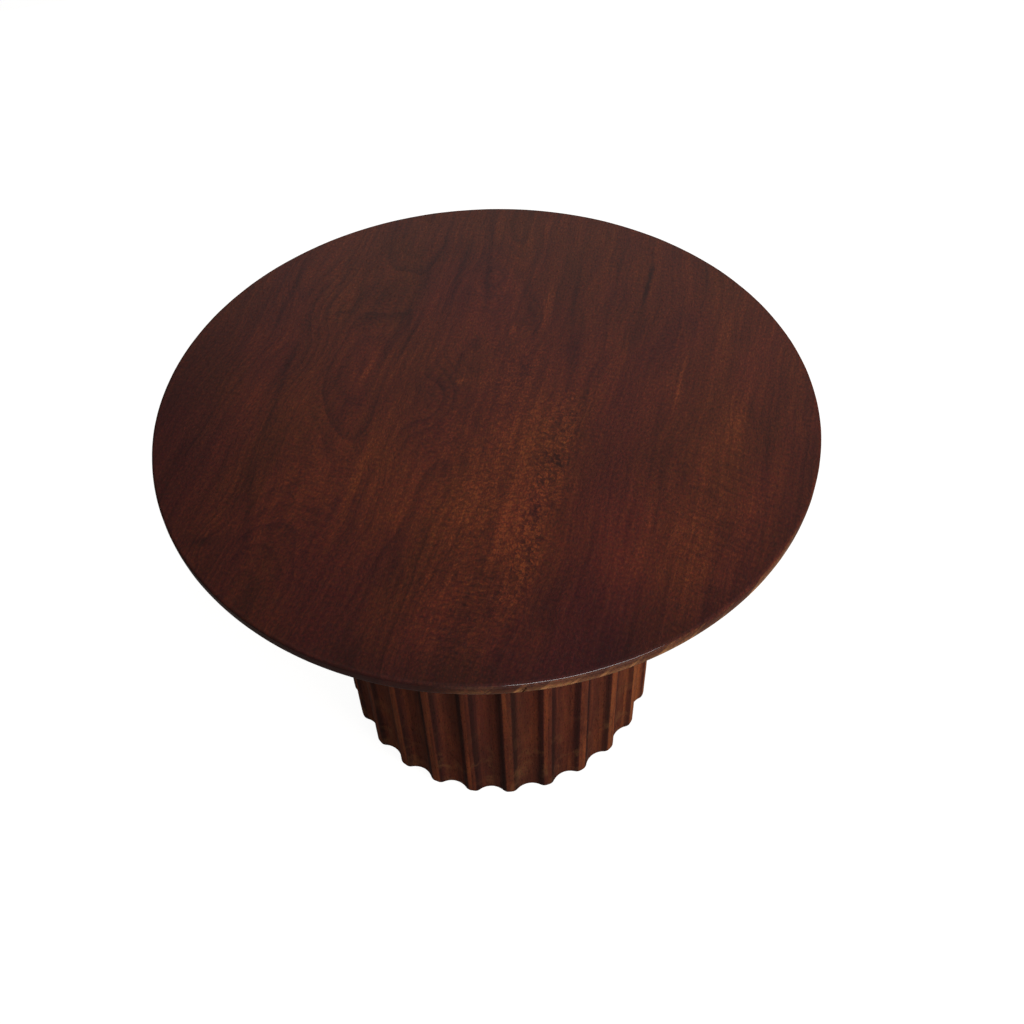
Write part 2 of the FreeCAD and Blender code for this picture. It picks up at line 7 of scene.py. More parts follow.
import logging
import math
from collections.abc import Callable, Iterator
from contextlib import contextmanager
from dataclasses import dataclass
from enum import Enum
from functools import cache, cached_property, partialmethod
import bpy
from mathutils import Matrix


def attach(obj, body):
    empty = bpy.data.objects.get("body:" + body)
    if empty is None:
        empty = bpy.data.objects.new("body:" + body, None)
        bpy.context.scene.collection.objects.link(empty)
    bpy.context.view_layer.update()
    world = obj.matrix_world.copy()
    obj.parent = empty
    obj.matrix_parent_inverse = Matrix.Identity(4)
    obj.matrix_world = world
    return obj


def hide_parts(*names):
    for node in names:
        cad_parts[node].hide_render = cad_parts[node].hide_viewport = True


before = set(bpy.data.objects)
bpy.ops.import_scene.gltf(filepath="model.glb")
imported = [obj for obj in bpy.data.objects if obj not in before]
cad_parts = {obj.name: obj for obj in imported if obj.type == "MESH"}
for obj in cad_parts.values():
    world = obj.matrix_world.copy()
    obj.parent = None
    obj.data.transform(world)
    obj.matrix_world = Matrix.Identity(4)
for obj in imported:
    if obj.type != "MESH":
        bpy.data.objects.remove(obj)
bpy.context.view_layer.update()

from types import SimpleNamespace

import bmesh
import bpy
from mathutils import Vector

log = logging.getLogger("pedestal_table")

Colour = tuple[float, float, float, float]
Triple = tuple[float, float, float]
Group = bpy.types.NodeTree
Material = bpy.types.Material
Piece = bpy.types.Object
Test = Callable[[list[Vector], Vector], bool]

RING_MEAN = 0.22  # what the growth rings come to on average
STAVE_SPACING = 1.37  # how far apart the staves lie in their texture, so that no two look alike
STAIN_STOPS = (0.0, 0.28, 0.5, 0.72, 1.0)
FRONT = (0.42, -0.91)  # from the middle to the part of the rim that is polished, with a darker band along its edge
PAINTED_LIGHT_SIDE = (0.978, -0.208)  # from the middle to the staves that get painted light, the side that light from the right falls on
SOFT_EDGE = 1.8  # how many half widths out a patch still shows
TOUCHING = 1e-6  # places nearer than this are one place
ON_THE_SAW = 1e-7  # a corner nearer than this to a saw cut lies in it
LEVEL = 0.999  # the least Z of the normal of a level face


def tint(red: int, green: int, blue: int) -> Colour:
    """Turn a colour as a paint chart gives it, 0 to 255, into the linear colour of a shader.

    Args:
        red: The red share, 0 to 255.
        green: The green share, 0 to 255.
        blue: The blue share, 0 to 255.

    Returns:
        The linear colour with full opacity.
    """
    linear = [((share / 255 + 0.055) / 1.055) ** 2.4 if share > 10 else share / 3295
              for share in (red, green, blue)]
    return (linear[0], linear[1], linear[2], 1.0)


RED_STAIN = (tint(39, 17, 18), tint(56, 23, 22), tint(71, 30, 24), tint(89, 38, 26), tint(126, 59, 33))
BROWN_STAIN = (tint(38, 19, 15), tint(55, 26, 19), tint(71, 33, 21), tint(90, 42, 24), tint(128, 65, 33))
DRUM_STAIN = (tint(38, 21, 17), tint(54, 28, 22), tint(70, 35, 25), tint(88, 45, 29), tint(127, 70, 39))


class Slot(Enum):
    """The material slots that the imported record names."""

    TOP_WOOD = "top_wood"
    STAVE_WOOD = "stave_wood"
    FELT = "felt"


class Value:
    """What a shader node gives, open to plain arithmetic: each sign makes one Math node.

    Its scaled(times, plus) multiplies by one thing and adds another in one node.
    """

    def __init__(self, tree: "Tree", socket: bpy.types.NodeSocket) -> None:
        """Keep the node's output and the writer of its tree."""
        self.tree, self.socket = tree, socket

    def _work(self, operation: str, *terms: object) -> "Value":
        """Work out a number from the value and others."""
        return self.tree.math(operation, self, *terms)

    __add__ = partialmethod(_work, "ADD")
    __sub__ = partialmethod(_work, "SUBTRACT")
    __mul__ = partialmethod(_work, "MULTIPLY")
    __truediv__ = partialmethod(_work, "DIVIDE")
    __pow__ = partialmethod(_work, "POWER")
    __abs__ = partialmethod(_work, "ABSOLUTE")
    scaled = partialmethod(_work, "MULTIPLY_ADD")

    def __rsub__(self, other: float) -> "Value":
        """Take the value away from a number."""
        return self.tree.math("SUBTRACT", other, self)

    def clamped(self) -> "Value":
        """Keep the value between 0 and 1."""
        return self.tree.math("ADD", self, 0.0, clamp=True)


class Tree:
    """Writes shader nodes into a node tree and wires them up."""

    def __init__(self, tree: Group) -> None:
        """Keep the tree that the nodes go into."""
        self.tree = tree

    @staticmethod
    def feed(socket: bpy.types.NodeSocket, source: object) -> None:
        """Give a socket a wire or a fixed setting.

        Args:
            socket: The socket.
            source: The value to wire up, or the setting.
        """
        if isinstance(source, Value):
            source.tree.tree.links.new(source.socket, socket)
        else:
            socket.default_value = source

    def node(self, kind: str, output: int | str = 0, inputs: dict | tuple = (), **settings: object) -> Value:
        """Add a node.

        Args:
            kind: The node's type, as Blender names it.
            output: The output that is wanted.
            inputs: What its inputs get, by name or number, or one after the other.
            settings: Properties of the node to set.

        Returns:
            The output.
        """
        node = self.tree.nodes.new(kind)
        for name, setting in settings.items():
            setattr(node, name, setting)
        for name, source in inputs.items() if isinstance(inputs, dict) else enumerate(inputs):
            self.feed(node.inputs[name], source)
        return Value(self, node.outputs[output])

    def named(self, sockets: bpy.types.bpy_prop_collection) -> SimpleNamespace:
        """List a node's outputs by their names in small letters, with underscores for spaces."""
        return SimpleNamespace(**{socket.name.lower().replace(" ", "_"): Value(self, socket)
                                  for socket in sockets if socket.name})

    def math(self, operation: str, *terms: object, clamp: bool = False) -> Value:
        """Work out one number of others, and keep it between 0 and 1 if clamp is set."""
        return self.node("ShaderNodeMath", 0, terms, operation=operation, use_clamp=clamp)

    def vector(self, operation: str, *terms: object) -> Value:
        """Work out one vector, or the one number that a length or a dot product is."""
        number = operation in ("LENGTH", "DOT_PRODUCT")
        return self.node("ShaderNodeVectorMath", "Value" if number else "Vector", terms, operation=operation)

    def combine(self, x: object, y: object, z: object) -> Value:
        """Make a vector of three numbers."""
        return self.node("ShaderNodeCombineXYZ", 0, (x, y, z))

    def separate(self, vector: Value) -> list[Value]:
        """Split a vector into its three numbers."""
        first = self.node("ShaderNodeSeparateXYZ", 0, (vector,))
        return [Value(self, socket) for socket in first.socket.node.outputs]

    def noise(self, place: Value, detail: float, roughness: float, distortion: float = 0.0,
              scale: object = 1.0, output: str = "Fac") -> Value:
        """Add a noise texture.

        Args:
            place: The position that it is read at.
            detail: How many finer layers it has.
            roughness: How strong the finer layers are.
            distortion: How much it is twisted.
            scale: How many features there are to the metre.
            output: Fac for a number, Color for three.

        Returns:
            The noise.
        """
        return self.node("ShaderNodeTexNoise", output, {
            "Vector": place, "Scale": scale, "Detail": detail, "Roughness": roughness,
            "Distortion": distortion})

    def pick(self, number: Value, output: str = "Value") -> Value:
        """Pick a value or a Color that is always the same for the same number."""
        return self.node("ShaderNodeTexWhiteNoise", output, {"W": number}, noise_dimensions="1D")

    def step(self, value: Value, low: float, high: float) -> Value:
        """Rise smoothly from 0 where a value is low to 1 where it is high, which may be below low."""
        terms = (value, low, high, 0.0, 1.0) if low <= high else (value, high, low, 1.0, 0.0)
        return self.node("ShaderNodeMapRange", 0, terms, interpolation_type="SMOOTHSTEP")

    def band(self, value: Value, low: float, high: float, other_low: float, other_high: float) -> Value:
        """Be 1 in a band of a value, between the steps that bound it on its two sides."""
        return self.step(value, low, high) * self.step(value, other_low, other_high)

    def total(self, *terms: object) -> Value:
        """Add up any count of numbers.

        Args:
            terms: Values, numbers or pairs of a value and its weight.

        Returns:
            The sum.
        """
        result: object = 0.0
        for term in terms:
            operation = ("MULTIPLY_ADD", *term) if isinstance(term, tuple) else ("ADD", term)
            result = self.math(*operation, result)
        return result

    def mix(self, share: object, first: object, second: object, blend: str = "MIX") -> Value:
        """Mix two colours, the first at a share of 0 and the second at 1."""
        colours = {0: share, 6: first, 7: second}
        return self.node("ShaderNodeMix", 2, colours, data_type="RGBA", blend_type=blend)

    def mix_shaders(self, share: Value, first: Value, second: Value) -> Value:
        """Mix two shaders, the first at a share of 0 and the second at 1."""
        return self.node("ShaderNodeMixShader", 0, (share, first, second))

    def ramp(self, value: Value, colours: tuple[Colour, ...]) -> Value:
        """Look a value up in the five colours of a stain.

        Args:
            value: The value, 0 to 1.
            colours: The colours, the darkest first.

        Returns:
            The colour.
        """
        colour = self.node("ShaderNodeValToRGB", 0, (value,))
        ramp = colour.socket.node.color_ramp
        ramp.interpolation = "B_SPLINE"
        ramp.elements[0].color, ramp.elements[1].color = colours[0], colours[-1]
        for spot, inner in zip(STAIN_STOPS[1:-1], colours[1:-1]):
            ramp.elements.new(spot).color = inner
        return colour

    def bump(self, height: Value, distance: float, strength: float) -> Value:
        """Turn a height into a normal, where a height of 1 stands the distance proud, in metres."""
        return self.node("ShaderNodeBump", 0, {"Height": height, "Distance": distance, "Strength": strength})

    def group(self, group: Group, **terms: object) -> SimpleNamespace:
        """Put a node group into the tree.

        Args:
            group: The group.
            terms: What its inputs get, by name in small letters, with underscores for spaces.

        Returns:
            Its outputs, named the same way.
        """
        inputs = {name.replace("_", " ").title(): term for name, term in terms.items()}
        first = self.node("ShaderNodeGroup", 0, inputs, node_tree=group)
        return self.named(first.socket.node.outputs)


class GroupTree(Tree):
    """A shader node group under construction, which is read at a place and gives named results."""

    def __init__(self, name: str, **inputs: float | Triple) -> None:
        """Make the group and its inputs.

        Args:
            name: The group's name.
            inputs: Each input's first value, by name in small letters, with underscores for spaces.
        """
        super().__init__(bpy.data.node_groups.new(name, "ShaderNodeTree"))
        for key, first in {"place": (0.0, 0.0, 0.0), **inputs}.items():
            self._plug(key, "INPUT", "Vector" if isinstance(first, tuple) else "Float").default_value = first
        self.given = self.named(self.tree.nodes.new("NodeGroupInput").outputs)

    def _plug(self, key: str, way: str, kind: str) -> bpy.types.NodeTreeInterfaceSocket:
        """Add a socket to the outside of the group."""
        return self.tree.interface.new_socket(key.replace("_", " ").title(), in_out=way,
                                              socket_type="NodeSocket" + kind)

    def give(self, **results: Value) -> Group:
        """Wire the results to outputs of the group.

        Args:
            results: The results, by name in small letters, with underscores for spaces.

        Returns:
            The finished group.
        """
        end = self.tree.nodes.new("NodeGroupOutput")
        kinds = {"VALUE": "Float", "RGBA": "Color", "VECTOR": "Vector"}
        for key, result in results.items():
            plug = self._plug(key, "OUTPUT", kinds[result.socket.type])
            self.feed(end.inputs[plug.name], result)
        return self.tree


@cache
def grain_flow() -> Group:
    """Bend straight grain into the slow waves that it runs in.

    Returns:
        The node group.
    """
    tree = GroupTree("grain_flow", sway=0.012, seed=0.0)
    given = tree.given
    across, along, depth = tree.separate(given.place)
    slow = tree.noise(tree.combine(across * 5.0, along * 3.2, given.seed), 2.0, 0.5)
    quick = tree.noise(tree.combine(across * 34.0, along * 17.0, given.seed + 3.0), 3.0, 0.55)
    swayed = tree.total(across, ((slow - 0.5) * given.sway, 2.4), ((quick - 0.5) * given.sway, 0.45))
    return tree.give(flow=tree.combine(swayed, along, depth))


@cache
def knot_hump() -> Group:
    """Tell how near a knot is, how far it lifts the growth rings and how far it draws the grain in.

    Returns:
        The node group.
    """
    tree = GroupTree("knot_hump", across=0.0, along=0.0, size=0.05, lift=0.0, pull=0.0)
    given = tree.given
    across, along, _ = tree.separate(given.place)
    off_across, off_along = across - given.across, (along - given.along) * 0.55
    share = tree.vector("LENGTH", tree.combine(off_across, off_along, 0.0)) / given.size
    near = tree.math("EXPONENT", share ** 2.0 * -1.0)
    return tree.give(near=near, lift=near * given.lift, shift=near * off_across * (given.pull * -1.0))


@cache
def growth_rings() -> Group:
    """Draw the growth rings of a log whose middle wanders, lifted where there are knots.

    Returns:
        The node group.
    """
    tree = GroupTree("growth_rings", pith_across=0.0, pith_depth=-0.05, ring_width=0.01, wander=0.02,
                     seed=0.0, lift=0.0)
    given = tree.given
    across, along, depth = tree.separate(given.place)
    slow = tree.noise(tree.combine(across * 0.7, along, given.seed), 3.0, 0.5, scale=3.0, output="Color")
    drift_across, drift_depth, _ = tree.separate(tree.vector("SUBTRACT", slow, (0.5, 0.5, 0.5)))
    fine = tree.noise(tree.combine(across * 22.0, along * 3.0, given.seed + 7.0), 3.0, 0.6)
    from_pith = tree.combine(
        tree.total(across, (given.pith_across, -1.0), (drift_across * given.wander, 2.0)),
        tree.total(depth, (given.pith_depth, -1.0), (drift_depth * given.wander, 1.2)), 0.0)
    distance = tree.vector("LENGTH", from_pith) + given.lift
    phase = tree.total(distance / given.ring_width, (fine, 0.8))
    part = tree.math("FRACT", phase)
    year = tree.pick(tree.math("FLOOR", phase) + given.seed)
    return tree.give(rings=(part ** 2.2 - part ** 16.0) * year.scaled(0.75, 0.25))


@cache
def wood_fibre() -> Group:
    """Draw fine streaks along the grain, and the short dark pores between them.

    Returns:
        The node group.
    """
    tree = GroupTree("wood_fibre", seed=0.0)
    across, along, depth = tree.separate(tree.given.place)
    seeded = depth + tree.given.seed

    def layer(wide: float, long: float, deep: float, *look: float, output: str = "Fac") -> Value:
        """Noise that is finer one way than another."""
        return tree.noise(tree.combine(across * wide, along * long, seeded * deep), *look, output=output)

    return tree.give(
        lines=tree.step(layer(85.0, 4.0, 60.0, 4.0, 0.62), 0.3, 0.7),
        streaks=layer(190.0, 9.0, 190.0, 3.0, 0.65),
        pores=tree.step(layer(620.0, 95.0, 620.0, 1.0, 0.5), 0.56, 0.72),
        grit=layer(420.0, 230.0, 420.0, 2.0, 0.6),
        pigment=tree.mix(0.5, layer(380.0, 300.0, 380.0, 1.0, 0.5, output="Color"), (1.5, 1.5, 1.5, 1.0)))


@cache
def curly_figure() -> Group:
    """Draw ripples across the grain, thin bright curls between them, and scales.

    Returns:
        The node group.
    """
    tree = GroupTree("curly_figure", across=30.0, along=90.0, slant=0.2, seed=0.0)
    given = tree.given
    across, along, depth = tree.separate(given.place)
    slanted = across.scaled(given.slant, along)
    ripple = tree.noise(tree.combine(across * given.across, slanted * given.along,
                                     depth.scaled(30.0, given.seed)), 2.0, 0.55, 0.6)
    warped = tree.combine(ripple.scaled(1.2, across * 60.0), ripple.scaled(1.6, slanted * 125.0), 0.0)
    scales = tree.node("ShaderNodeTexVoronoi", "Distance", {"Vector": warped, "Scale": 1.0},
                       voronoi_dimensions="2D", feature="DISTANCE_TO_EDGE")
    return tree.give(ripple=tree.step(ripple, 0.25, 0.75), curls=tree.step(abs(ripple - 0.5), 0.075, 0.0),
                     scales=tree.step(scales, 0.02, 0.2))


@cache
def figure_patch() -> Group:
    """Mask a soft-edged patch or streak at one place on a face, with a slightly ragged outline.

    Returns:
        The node group.
    """
    tree = GroupTree("figure_patch", middle=(0.0, 0.0, 0.0), half_width=0.01, half_length=0.05, turn=0.0,
                     ragged=0.5)
    given = tree.given
    across, along, _ = tree.separate(tree.vector("SUBTRACT", given.place, given.middle))
    edge = tree.noise(tree.combine(across * 30.0, along * 14.0, given.half_length * 97.0), 3.0, 0.6)
    shift = (edge - 0.5) * given.ragged
    cosine, sine = tree.math("COSINE", given.turn), tree.math("SINE", given.turn)
    share_across = (across * cosine + along * sine) / given.half_width + shift * 4.0
    share_along = (along * cosine - across * sine) / given.half_length
    spread = abs(share_across) ** 2.0 + abs(share_along) ** 4.0
    return tree.give(mask=tree.math("EXPONENT", spread * -1.0))


@cache
def slow_mottle() -> Group:
    """Draw slow cloudy changes of tone and warmth, drawn out along the grain.

    Returns:
        The node group.
    """
    tree = GroupTree("slow_mottle", stretch=3.0, scale=18.0, seed=0.0)
    given = tree.given
    across, along, depth = tree.separate(given.place)
    place = tree.combine(across * given.scale, along * given.scale / given.stretch,
                         depth.scaled(8.0, given.seed))
    warm = tree.noise(tree.vector("ADD", place, (11.3, 4.1, 2.7)), 2.0, 0.5, scale=0.6)
    return tree.give(mottle=tree.noise(place, 4.0, 0.6, 0.4), warmth=tree.step(warm, 0.3, 0.7))


@cache
def place_on_stave() -> Group:
    """Tell where a point lies on its own stave: across, up and out, and how far from its middle.

    Returns:
        The node group.
    """
    tree = GroupTree("place_on_stave", first_joint=0.0, pitch=0.24, radius=0.228)
    given = tree.given
    x, y, z = tree.separate(given.place)
    turned = (tree.math("ARCTAN2", y, x) - given.first_joint) / given.pitch
    number, middle = tree.math("FLOOR", turned), tree.math("FRACT", turned) - 0.5
    across = number.scaled(STAVE_SPACING, middle * given.pitch * given.radius)
    reach = tree.vector("LENGTH", tree.combine(x, y, 0.0))
    return tree.give(on_stave=tree.combine(across, z, reach), number=number, off_middle=abs(middle))


@cache
def fine_speckle() -> Group:
    """Draw fine even speckle of a chosen size, for felt, moulded plastic and metal."""
    tree = GroupTree("fine_speckle", scale=900.0)
    return tree.give(speckle=tree.noise(tree.given.place, 3.0, 0.6, scale=tree.given.scale))


class Paint(Tree):
    """The shader nodes of one new material."""

    def __init__(self, name: str) -> None:
        """Make the material, with no nodes yet.

        Args:
            name: The material's name.
        """
        self.material = bpy.data.materials.new(name)
        self.material.use_nodes = True
        super().__init__(self.material.node_tree)
        self.tree.nodes.clear()

    @cached_property
    def place(self) -> Value:
        """The place on the object."""
        return self.node("ShaderNodeTexCoord", "Object")

    def towards(self, x: float, y: float, radius: float) -> Value:
        """How far a point lies out in a direction from the middle, as a share of a radius."""
        return self.vector("DOT_PRODUCT", self.place, (x / radius, y / radius, 0.0))

    def principled(self, **inputs: object) -> Value:
        """Add a Principled shader.

        Args:
            inputs: What its inputs get, by name, with underscores for spaces.

        Returns:
            The shader.
        """
        terms = {name.replace("_", " "): term for name, term in inputs.items()}
        return self.node("ShaderNodeBsdfPrincipled", 0, terms)

    def finish(self, shader: Value) -> Material:
        """Wire a shader to the output and hand over the material."""
        self.feed(self.tree.nodes.new("ShaderNodeOutputMaterial").inputs["Surface"], shader)
        return self.material


@dataclass(frozen=True)
class Patch:
    """A lighter or darker place in the figure of the top, in metres and degrees."""

    across: float
    along: float
    half_width: float
    half_length: float
    strength: float
    turn: float = 0.0
    ragged: float = 0.5
    browner: float = 0.0

    def touches(self, left: float, right: float) -> bool:
        """Whether the patch reaches a board that lies between two seams."""
        reach = SOFT_EDGE * (self.half_width + abs(math.sin(math.radians(self.turn))) * self.half_length)
        return self.across + reach > left and self.across - reach < right

    def mask(self, tree: Paint) -> Value:
        """Put the patch into a material.

        Args:
            tree: The material's nodes.

        Returns:
            The patch's mask, 0 to 1.
        """
        return tree.group(figure_patch(), place=tree.place, middle=(self.across, self.along, 0.0),
                          half_width=self.half_width, half_length=self.half_length,
                          turn=math.radians(self.turn), ragged=self.ragged).mask


@dataclass(frozen=True)
class Curl:
    """Where and how strongly the figure ripples and curls."""

    area: Patch
    across: float
    along: float
    slant: float
    ripple: float
    curls: float
    scales: float = 0.0


@dataclass(frozen=True)
class Knot:
    """A place that the grain and the growth rings run round."""

    across: float
    along: float
    size: float
    lift: float
    pull: float


@dataclass(frozen=True)
class BoardFinish:
    """The stained and lacquered wood of one board of the top, grain along Y."""

    name: str
    tone: float
    pith_across: float
    pith_depth: float
    ring_width: float
    seed: float
    ring_contrast: float = 0.2
    knots: tuple[Knot, ...] = ()

    def make(self, left: float, right: float, rim: float, top: float) -> Material:
        """Build the material.

        Args:
            left: The X of the board's left seam.
            right: The X of the board's right seam.
            rim: The radius of the table top.
            top: The height of the table top.

        Returns:
            The material.
        """
        tree = Paint(self.name)
        across, along, height = tree.separate(tree.place)
        from_top = height - top
        reach = tree.vector("LENGTH", tree.combine(across, along, 0.0))
        swayed = tree.group(grain_flow(), place=tree.combine(across, along, from_top), sway=0.021,
                            seed=1.0).flow
        humps = [tree.group(knot_hump(), place=swayed, **vars(knot)) for knot in self.knots]
        by_knot, lift, shift = (tree.total(0.0, *(getattr(hump, what) for hump in humps))
                                for what in ("near", "lift", "shift"))
        flow = tree.vector("ADD", swayed, tree.combine(shift, 0.0, 0.0))
        rings = tree.group(growth_rings(), place=flow, pith_across=self.pith_across,
                           pith_depth=self.pith_depth, ring_width=self.ring_width, wander=0.03,
                           seed=self.seed, lift=lift).rings
        fibre = tree.group(wood_fibre(), place=flow, seed=1.0)
        mottle = tree.group(slow_mottle(), place=flow, stretch=3.0, scale=24.0, seed=1.0)
        tone = tree.total(
            self.tone, ((rings - RING_MEAN) * by_knot.scaled(0.12, self.ring_contrast), -1.0),
            (mottle.mottle - 0.5, 0.42), (fibre.lines - 0.5, 0.13), (fibre.streaks - 0.5, 0.30),
            (fibre.grit - 0.5, 0.82))
        tone, browner = self._figure(tree, (left, right), flow, tone, mottle.warmth.scaled(0.6, 0.2))

        # the rim: blocks of end grain, painted shade on the left where it is turned from the window
        side = tree.step(reach, rim - 0.0026, rim - 0.0010) * tree.step(from_top, -0.0005, -0.0022)
        slanted = from_top.scaled(-0.9, across) / 0.027
        joint = tree.step(abs(tree.math("FRACT", slanted) - 0.14), 0.12, 0.04)
        end_grain = tree.total(tree.pick(tree.math("FLOOR", slanted)), -0.5, (fibre.grit - 0.5, 1.2))
        shaded = side * tree.step(across, 0.14, -0.06)
        towards = tree.towards(*FRONT, rim)
        # darker in a band along the front of the top, next to its edge
        front_band = tree.step(reach, rim - 0.060, rim - 0.004) * tree.step(towards, 0.50, 0.95)
        # painted shade inside the check in the rim
        crack_shade = (tree.step(reach, rim - 0.0008, rim - 0.0022)
                 * tree.band(from_top, -0.0045, -0.0060, -0.0150, -0.0135))
        tone = tree.total(tone, (side * end_grain, 0.22), (shaded, -0.22), (front_band, -0.14),
                          (crack_shade, -0.8)).clamped()
        colour = tree.mix(browner.clamped(), tree.ramp(tone, RED_STAIN), tree.ramp(tone, BROWN_STAIN))
        colour = tree.mix(fibre.pores * 0.3, colour, tint(30, 15, 14))
        # painted light on the right of the rim, most of all along its lower edge, in lit end-grain colours
        painted_light = (side * tree.step(across, 0.045, 0.135)
                 * tree.step(from_top, -0.005, -0.0125).scaled(0.75, 0.25))
        lit_end_grain = tree.total(0.15, (end_grain, 1.3), (joint, 0.8)).clamped()
        colour = tree.mix(painted_light * 0.8, colour, tree.mix(lit_end_grain, tint(80, 47, 31), tint(150, 103, 64)))

        # the upper edge of the rim: rubbed dull, but polished where it is nearest
        near = tree.step(towards, 0.935, 0.98)
        arris = (tree.step(reach, rim - 0.0038, rim - 0.0028)
                 * tree.band(from_top, -0.0006, -0.0010, -0.0042, -0.0032))
        by_top = tree.step(reach, rim - 0.0046, rim - 0.0032) * tree.step(from_top, -0.0016, -0.0007)
        relief = tree.total((fibre.streaks, 0.3), (fibre.pores, -0.5), (mottle.mottle, 0.8), (rings, 0.25))
        return tree.finish(tree.principled(
            Base_Color=tree.mix(1.0, colour, fibre.pigment, "MULTIPLY"),
            Roughness=tree.total(0.34, (fibre.pores, 0.16), (fibre.streaks - 0.5, 0.12),
                                 (arris * (1.0 - near), 0.4), (by_top, 0.35)),
            Coat_Weight=arris * near, Coat_Roughness=0.10, Specular_IOR_Level=0.11,
            Normal=tree.bump(relief, 0.00025, 0.6)))

    @staticmethod
    def _figure(tree: Paint, seams: tuple[float, float], flow: Value, tone: Value,
                browner: Value) -> tuple[Value, Value]:
        """Add the patches, streaks and curls that reach the board.

        Args:
            tree: The material's nodes.
            seams: The X of the board's left and right seam.
            flow: The position along the bent grain.
            tone: How light the wood is so far.
            browner: How brown rather than red it is so far.

        Returns:
            The new tone and the new share of brown.
        """
        for patch in TOP_FIGURE:
            if patch.touches(*seams):
                mask = patch.mask(tree)
                tone = tree.total(tone, (mask, patch.strength))
                if patch.browner:
                    browner = tree.total(browner, (mask, patch.browner))
        for curl in TOP_CURLS:
            if curl.area.touches(*seams):
                figure = tree.group(curly_figure(), place=flow, across=curl.across, along=curl.along,
                                    slant=curl.slant, seed=curl.along)
                strength = tree.total((figure.ripple - 0.5, curl.ripple), (figure.curls, curl.curls),
                                      (figure.scales - 0.8, curl.scales))
                tone = tree.total(tone, curl.area.mask(tree) * strength)
        return tone, browner


@dataclass(frozen=True)
class StaveFinish:
    """The stained and lacquered wood of the drum, grain upright, plain wood inside."""

    name: str
    first_joint: float
    pitch: float
    ridge_radius: float
    inside_radius: float

    def make(self) -> Material:
        """Build the material.

        Returns:
            The material.
        """
        tree = Paint(self.name)
        where = tree.group(place_on_stave(), place=tree.place, first_joint=self.first_joint,
                           pitch=self.pitch, radius=self.ridge_radius)
        place, number, off_middle = where.on_stave, where.number, where.off_middle
        across, along, reach = tree.separate(place)
        own_tone, _, _ = tree.separate(tree.pick(number + 3.0, "Color"))
        local = tree.combine(number.scaled(-STAVE_SPACING, across), along, reach - self.ridge_radius)
        rings = tree.group(growth_rings(), place=local, ring_width=0.005, wander=0.014,
                           seed=number * 3.7).rings
        fibre = tree.group(wood_fibre(), place=place, seed=2.0)
        mottle = tree.group(slow_mottle(), place=place, stretch=5.0, scale=26.0, seed=4.0)
        # painted shade: darker on the flute walls next to the ridges, and faintly in the flute's hollow
        valley_shade = tree.step(off_middle, 0.42, 0.30)
        wall_shade = tree.band(off_middle, 0.22, 0.345, 0.415, 0.37)
        ridge = tree.step(off_middle, 0.37, 0.42)
        # painted light: the staves on the right are lighter, as the light from the right makes them
        painted_light = tree.step(tree.towards(*PAINTED_LIGHT_SIDE, self.ridge_radius), 0.92, 0.97)
        tone = tree.total(
            0.585, (ridge, 0.08), (painted_light, 0.30), (own_tone - 0.5, 0.16), (rings - RING_MEAN, -0.22),
            (mottle.mottle - 0.5, 0.8), (fibre.streaks - 0.5, 0.36), (fibre.grit - 0.5, 0.26),
            (wall_shade, -0.46), (valley_shade, -0.04)).clamped()
        colour = tree.mix(mottle.warmth.scaled(0.4, 0.6), tree.ramp(tone, RED_STAIN),
                          tree.ramp(tone, DRUM_STAIN))
        scuffs = tree.group(slow_mottle(), place=place, stretch=1.6, scale=48.0, seed=9.0).mottle
        scuffed = tree.step(scuffs, 0.48, 0.72) * tree.step(along, 0.20, 0.02)
        colour = tree.mix(scuffed * 0.38, colour, tint(112, 74, 46))
        colour = tree.mix(fibre.pores * 0.4, colour, tint(26, 14, 13))
        colour = tree.mix(1.0, colour, fibre.pigment, "MULTIPLY")
        plain = tree.total(0.3, (fibre.streaks, 0.4), (mottle.mottle, 0.3)).clamped()
        inside = tree.step(reach, self.inside_radius + 0.0045, self.inside_radius + 0.0030)
        relief = tree.total((fibre.streaks, 0.35), (fibre.pores, -0.5), (mottle.mottle, 1.2), (rings, 0.3))
        return tree.finish(tree.principled(
            Base_Color=tree.mix(inside, colour, tree.mix(plain, tint(120, 80, 50), tint(190, 146, 100))),
            Roughness=tree.total(0.50, (fibre.pores, 0.14), (inside, 0.3), (mottle.mottle - 0.5, 0.2)),
            Specular_IOR_Level=0.04, Normal=tree.bump(relief, 0.0003, 0.6)))


@dataclass(frozen=True)
class PlainWoodFinish:
    """Sanded wood without stain, for what the top and the drum hide; the turn is of its grain."""

    name: str
    dark: Colour
    light: Colour
    turn: float
    seed: float

    def make(self) -> Material:
        """Build the material.

        Returns:
            The material.
        """
        tree = Paint(self.name)
        place = tree.node("ShaderNodeMapping", 0, {"Vector": tree.place, "Rotation": (0.0, 0.0, self.turn)})
        rings = tree.group(growth_rings(), place=place, pith_across=0.31, pith_depth=-0.2, ring_width=0.006,
                           wander=0.03, seed=self.seed).rings
        fibre = tree.group(wood_fibre(), place=place, seed=self.seed)
        mottle = tree.group(slow_mottle(), place=place, stretch=4.0, scale=16.0, seed=self.seed).mottle
        tone = tree.total(0.55, (rings - RING_MEAN, -0.5), (mottle - 0.5, 0.7),
                          (fibre.streaks - 0.5, 0.6)).clamped()
        relief = tree.total((fibre.streaks, 0.5), (fibre.pores, -0.5))
        return tree.finish(tree.principled(
            Base_Color=tree.mix(fibre.pores * 0.3, tree.mix(tone, self.dark, self.light), self.dark),
            Roughness=fibre.pores.scaled(0.12, 0.62), Normal=tree.bump(relief, 0.0002, 0.7)))


